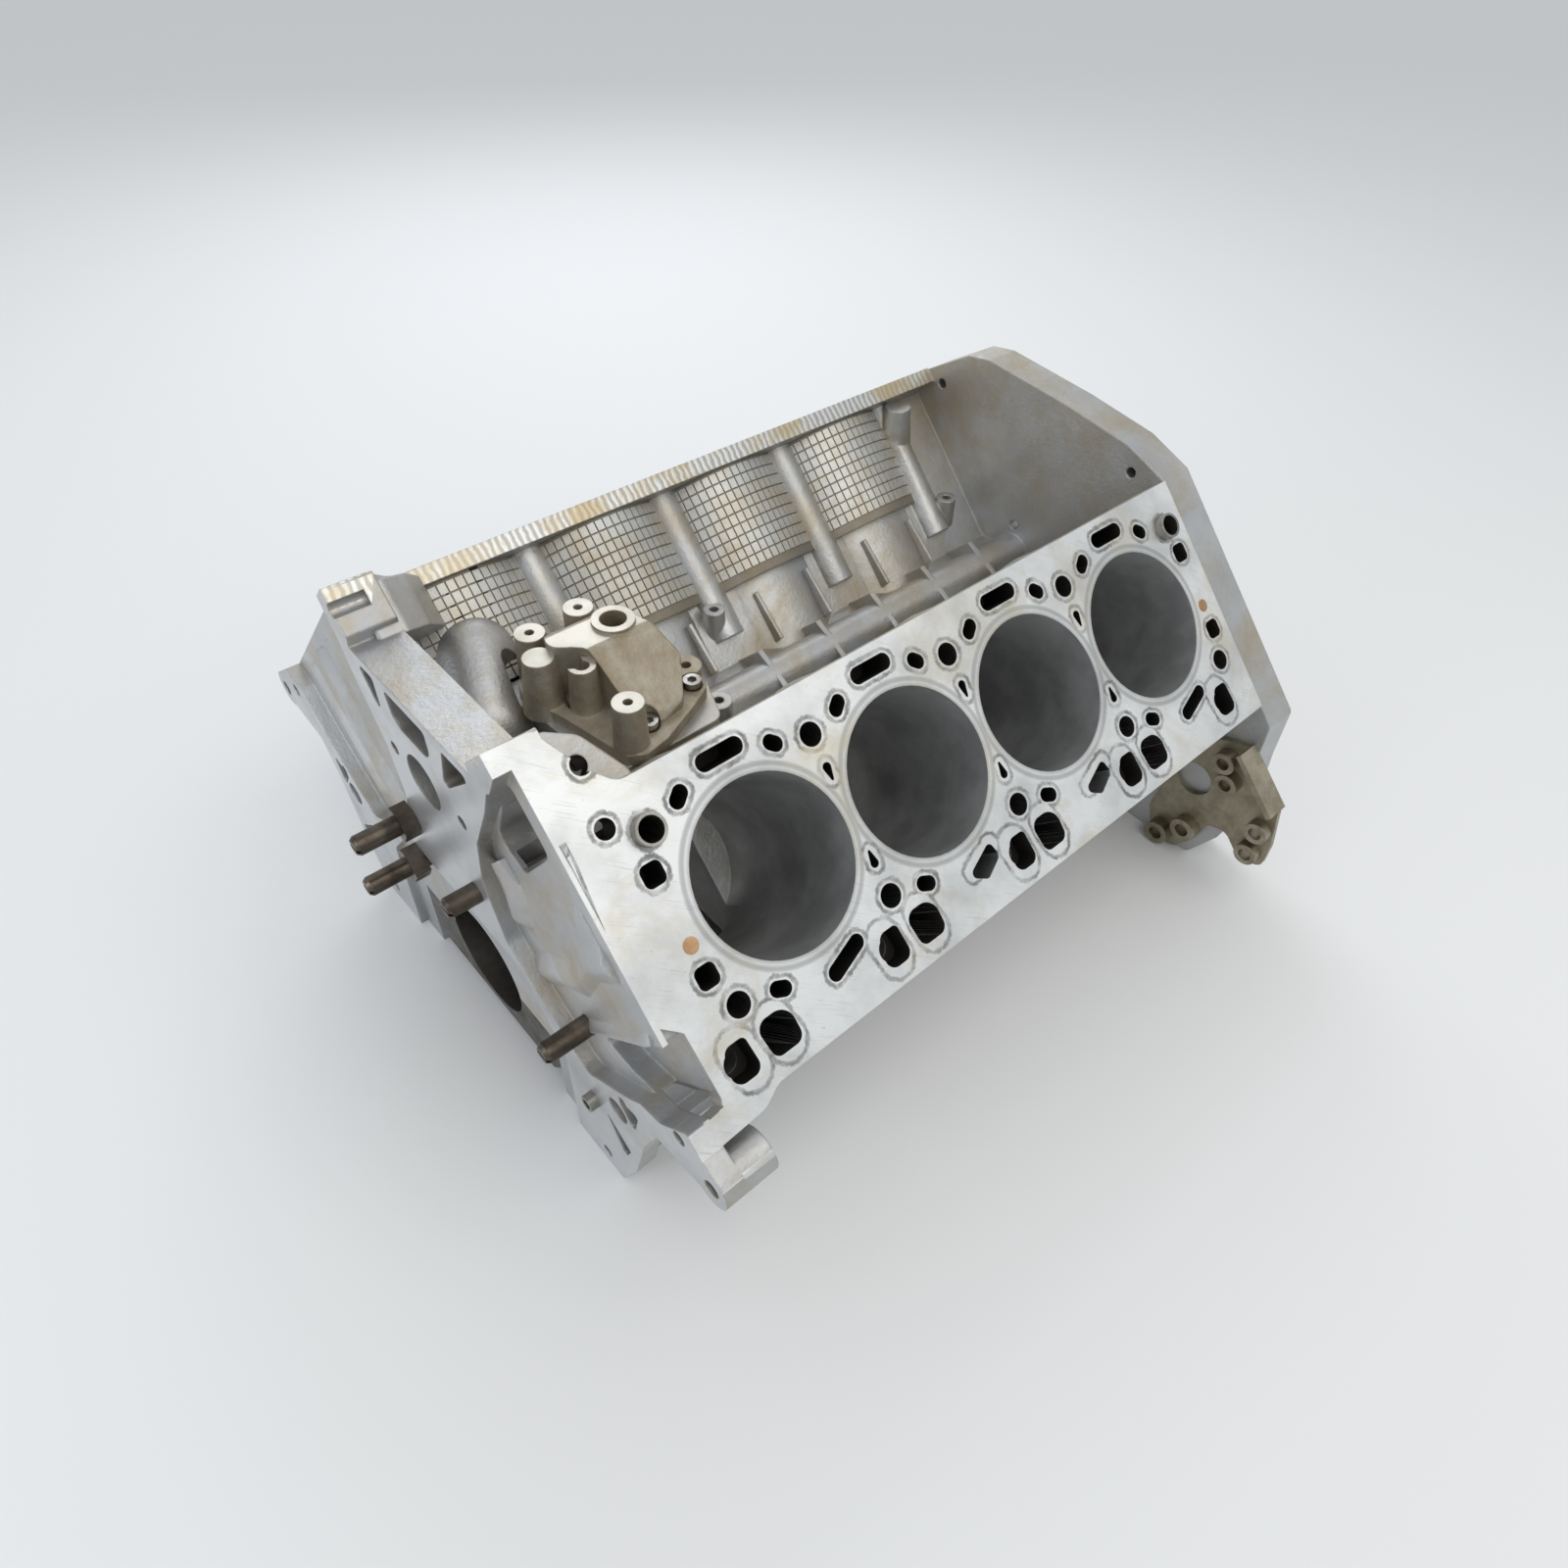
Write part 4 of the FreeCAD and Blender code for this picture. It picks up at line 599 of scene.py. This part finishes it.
class EngineBlockWallGrid(bpy.types.Operator):
    """Set the cast grid of raised pads on the cylinder walls of the valley"""
    bl_idname = "engine_block.wall_grid"
    bl_label = "Cylinder wall grid"

    def execute(self, context):
        settings = context.scene.engine_block_body
        step = settings.pad_size + settings.pad_groove
        tall = settings.pad_size * 1.32
        radius = JACKET_RADIUS + settings.pad_height * 0.2
        places, aims, ups = [], [], []
        for side in (-1, 1):
            origin = bank_point(side, 0, 0, 0)
            for number in range(BORE_COUNT):
                for column in range(-8, 9):
                    turn = column * step / radius
                    u, v = radius * math.sin(turn), -radius * math.cos(turn)
                    for row in range(9):
                        height = DECK_HEIGHT - 0.0148 - row * (tall + settings.pad_groove * 1.25)
                        places.append(bank_point(side, number * PITCH + u, v, height))
                        aims.append((bank_point(side, u, v, 0) - origin).normalized())
                        ups.append((bank_point(side, 0, 0, 1) - origin).normalized())
            self.lower_walls(side)
        points = points_mesh("wall_grid_points", places, aims, ups)
        size = (settings.pad_size, tall, settings.pad_height)
        piece = new_object("cylinder_wall_grid", set_out("cylinder_wall_grid", points, size, finish("pad")))
        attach(piece, "root")
        return {"FINISHED"}

    def lower_walls(self, side):
        """Carry the swell of the four cylinders down to the valley floor."""
        verts, faces, steps = [], [], 20
        for number in range(BORE_COUNT):
            first = len(verts)
            for radius in (0.0585, 0.051):
                for height in (0.079, 0.1335):
                    for k in range(steps + 1):
                        turn = math.radians(-40 + 80 * k / steps)
                        u, v = radius * math.sin(turn), -radius * math.cos(turn)
                        verts.append(bank_point(side, number * PITCH + u, v, height))
            row = steps + 1
            for k in range(steps):
                for a, b in ((0, 1), (1, 3), (3, 2), (2, 0)):
                    low, high = first + a * row + k, first + b * row + k
                    faces.append((low, low + 1, high + 1, high))
            for k in (0, steps):
                faces.append([first + part * row + k for part in (0, 1, 3, 2)])
        tag = "near" if side < 0 else "far"
        mesh = bpy.data.meshes.new(f"{tag}_lower_walls")
        mesh.from_pydata(verts, [], faces)
        clean_mesh(mesh, CREASE_DEGREES)
        mesh.materials.append(finish("cast"))
        piece = new_object(f"{tag}_lower_walls", mesh)
        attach(piece, "root")


class EngineBlockCaseRelief(bpy.types.Operator):
    """Swell the back walls of both chain cases where the water jacket stands behind"""
    bl_idname = "engine_block.case_relief"
    bl_label = "Chain case relief"

    def execute(self, context):
        wall, step = 0.010, 0.0021
        ridges = [
            ([(-0.060, 0.128), (-0.042, 0.124), (-0.028, 0.113)], 0.0085, 0.0070),
            ([(0.006, 0.097), (0.006, 0.118), (0.010, 0.146), (0.000, 0.175), (0.000, 0.206)],
             0.0085, 0.0052),
            ([(0.040, 0.118), (0.040, 0.150), (0.040, 0.200)], 0.0060, 0.0042),
            ([(-0.022, 0.190), (-0.020, 0.214)], 0.0120, 0.0022),
        ]
        for side, tag in ((-1, "near"), (1, "far")):
            work = bmesh.new()
            grid = {}
            for i in range(48):
                for j in range(54):
                    v, h = -0.0585 + i * step, 0.092 + j * step
                    if v < -0.044 and h > 0.136:
                        continue
                    rise = sum(height * math.exp(-(from_line((v, h), line) / width) ** 2)
                               for line, width, height in ridges)
                    place = bank_point(side, 0, v, h)
                    place.x = wall + 0.0004 - min(rise, 0.0082)
                    grid[i, j] = work.verts.new(place)
            for i, j in list(grid):
                ring = [(i, j), (i + 1, j), (i + 1, j + 1), (i, j + 1)]
                if all(key in grid for key in ring):
                    work.faces.new([grid[key] for key in ring])
            back = bmesh.ops.extrude_face_region(work, geom=work.faces[:], use_keep_orig=True)
            for item in back["geom"]:
                if isinstance(item, bmesh.types.BMVert):
                    item.co.x = wall + 0.0016
            loose = [vert for vert in work.verts if not vert.link_faces]
            bmesh.ops.delete(work, geom=loose, context="VERTS")
            mesh = bpy.data.meshes.new(f"{tag}_case_relief")
            work.to_mesh(mesh)
            work.free()
            clean_mesh(mesh, RELIEF_CREASE_DEGREES)
            mesh.materials.append(finish("cast"))
            piece = new_object(f"{tag}_case_relief", mesh)
            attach(piece, "root")
        return {"FINISHED"}


class EngineBlockFrontLand(bpy.types.Operator):
    """Close the joint between the near deck's front edge and the chain case wall"""
    bl_idname = "engine_block.front_land"
    bl_label = "Front land of the near deck"

    def execute(self, context):
        outline = [(0.0112, -0.0580), (0.0146, -0.0580), (0.0146, -0.0480), (0.0112, -0.0150)]
        verts = []
        for height in (DECK_HEIGHT - 0.0098, DECK_HEIGHT):
            for x, v in outline:
                place = bank_point(-1, 0, v, height)
                verts.append((x, place.y, place.z))
        faces = [(3, 2, 1, 0), (4, 5, 6, 7)] + [(k, (k + 1) % 4, (k + 1) % 4 + 4, k + 4) for k in range(4)]
        mesh = bpy.data.meshes.new("near_front_land")
        mesh.from_pydata(verts, [], faces)
        clean_mesh(mesh, CREASE_DEGREES)
        mesh.materials.append(finish("deck"))
        piece = new_object("near_front_land", mesh)
        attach(piece, "root")
        return {"FINISHED"}


class EngineBlockValleyRibs(bpy.types.Operator):
    """Set the thin stiffening ribs that run from the cylinder walls to the oil gallery"""
    bl_idname = "engine_block.valley_ribs"
    bl_label = "Valley ribs"

    def execute(self, context):
        places, aims, ups = [], [], []
        for side in (-1, 1):
            for number in range(BORE_COUNT):
                for shift in (-0.021, 0.023):
                    station = bank_point(side, number * PITCH + shift, 0, 0).x
                    places.append(Vector((station, side * 0.036, 0.1135)))
                    aims.append(Vector((0, -side * 0.62, 0.78)))
                    ups.append(Vector((0, side * 0.78, 0.62)))
        mesh = points_mesh("valley_rib_points", places, aims, ups)
        size = (0.0026, 0.034, 0.011)
        piece = new_object("valley_ribs", set_out("valley_ribs", mesh, size, finish("cast")))
        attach(piece, "root")
        return {"FINISHED"}


class EngineBlockHousing(bpy.types.Operator):
    """Dress the rough-cast valley housing and its screws"""
    bl_idname = "engine_block.housing"
    bl_label = "Valley housing"

    def execute(self, context):
        def housing_face(centre, normal):
            return "boss_top" if normal.z > 0.99 and centre.z > 0.1775 else "sand"

        dressed_copy("valley_housing", "housing_body", housing_face,
                     ["sand", "boss_top"])
        dress_node("housing_screws", "screw")
        return {"FINISHED"}


class EngineBlockSteel(bpy.types.Operator):
    """Give the caps, bolts, pins, dowels, plugs and the bracket their metals"""
    bl_idname = "engine_block.steel"
    bl_label = "Steel and brass parts"

    def execute(self, context):
        for number in range(1, 6):
            dress_node(f"main_bearing_cap_{number}", "iron")
        metals = {
            "main_cap_bolts": "bolt", "main_cap_side_bolts": "bolt", "upper_guide_pin": "pin",
            "lower_guide_pin": "pin", "upper_collar_pin": "pin", "lower_collar_pin": "pin",
            "near_deck_sleeves": "sleeve", "far_deck_sleeves": "sleeve", "cover_dowel_sleeves": "sleeve",
            "bell_housing_dowels": "sleeve", "near_deck_plugs": "brass", "far_deck_plugs": "brass",
            "core_plugs": "zinc", "oil_gallery_plugs": "zinc", "rear_bracket_plate": "bracket",
            "bracket_bolts": "bracket_bolt", "bracket_nuts": "bracket_bolt",
        }
        for node, metal in metals.items():
            dress_node(node, metal)
        return {"FINISHED"}


class EngineBlockStage(bpy.types.Operator):
    """Set up the floor, the soft lights and the camera"""
    bl_idname = "engine_block.stage"
    bl_label = "Stage"

    def execute(self, context):
        settings = context.scene.engine_block_stage
        mesh = bpy.data.meshes.new("studio_floor")
        corners = [(-1, -1), (1, -1), (1, 1), (-1, 1)]
        verts = [(x * FLOOR_REACH, y * FLOOR_REACH, FLOOR_HEIGHT) for x, y in corners]
        mesh.from_pydata(verts, [], [(0, 1, 2, 3)])
        floor = new_object("studio_floor", mesh)
        floor.data.materials.append(plain_ground("pale_floor", settings.floor_colour))
        world = bpy.data.worlds.new("studio_air")
        context.scene.world = world
        world.use_nodes = True
        tree = world.node_tree
        air = tree.nodes["Background"]
        air.inputs[0].default_value = linear("E2E6EA")
        air.inputs[1].default_value = 0.85
        seen = tree.nodes.new("ShaderNodeBackground")
        seen.inputs[0].default_value = linear("E6E8EA")
        path = tree.nodes.new("ShaderNodeLightPath")
        mix = tree.nodes.new("ShaderNodeMixShader")
        tree.links.new(path.outputs["Is Camera Ray"], mix.inputs[0])
        tree.links.new(air.outputs[0], mix.inputs[1])
        tree.links.new(seen.outputs[0], mix.inputs[2])
        tree.links.new(mix.outputs[0], tree.nodes["World Output"].inputs[0])
        lamps = [
            ("key_light", (0.35, -0.9, 1.5), settings.key_power, 1.4, "FFFBF4"),
            ("back_light", (0.9, 1.2, 1.1), settings.fill_power * 1.3, 1.0, "F4F8FF"),
            ("front_light", (-1.5, 0.1, 0.7), settings.fill_power, 0.9, "EEF3FF"),
        ]
        target = (Vector(BOX_LOW) + Vector(BOX_HIGH)) / 2
        for name, place, power, width, code in lamps:
            data = bpy.data.lights.new(name, "AREA")
            data.energy = power
            data.size = width
            data.color = linear(code)[:3]
            lamp = new_object(name, data)
            lamp.location = place
            lamp.rotation_euler = (Vector(place) - target).to_track_quat("Z", "Y").to_euler()
        data = bpy.data.cameras.new("studio_camera")
        data.sensor_width = 36.0
        data.lens = CAMERA_LENS
        camera = new_object("studio_camera", data)
        turn = Matrix((CAMERA_RIGHT, CAMERA_UP, CAMERA_BACK)).transposed().to_4x4()
        camera.matrix_world = Matrix.Translation(CAMERA_PLACE) @ turn
        context.scene.camera = camera
        context.scene.view_settings.view_transform = "Standard"
        return {"FINISHED"}


class EngineBlockPanel(bpy.types.Panel):
    """Buttons that build the engine block piece by piece"""
    bl_idname = "VIEW3D_PT_engine_block"
    bl_label = "Engine block"
    bl_space_type = "VIEW_3D"
    bl_region_type = "UI"
    bl_category = "Engine block"

    def draw(self, context):
        for operator in OPERATORS:
            self.layout.operator(operator.bl_idname)
        for settings in (context.scene.engine_block_body, context.scene.engine_block_stage):
            for key in settings.__annotations__:
                self.layout.prop(settings, key)


OPERATORS = [EngineBlockCasting, EngineBlockWallGrid, EngineBlockCaseRelief,
             EngineBlockFrontLand, EngineBlockValleyRibs, EngineBlockHousing,
             EngineBlockSteel, EngineBlockStage]
CLASSES = [BlockSettings, StageSettings] + OPERATORS + [EngineBlockPanel]


def register():
    for cls in CLASSES:
        bpy.utils.register_class(cls)
    bpy.types.Scene.engine_block_body = bpy.props.PointerProperty(type=BlockSettings)
    bpy.types.Scene.engine_block_stage = bpy.props.PointerProperty(type=StageSettings)


def unregister():
    del bpy.types.Scene.engine_block_stage
    del bpy.types.Scene.engine_block_body
    for cls in reversed(CLASSES):
        bpy.utils.unregister_class(cls)


def main():
    register()
    bpy.ops.engine_block.casting()
    bpy.ops.engine_block.wall_grid()
    bpy.ops.engine_block.case_relief()
    bpy.ops.engine_block.front_land()
    bpy.ops.engine_block.valley_ribs()
    bpy.ops.engine_block.housing()
    bpy.ops.engine_block.steel()
    bpy.ops.engine_block.stage()


if __name__ == "__main__":
    main()
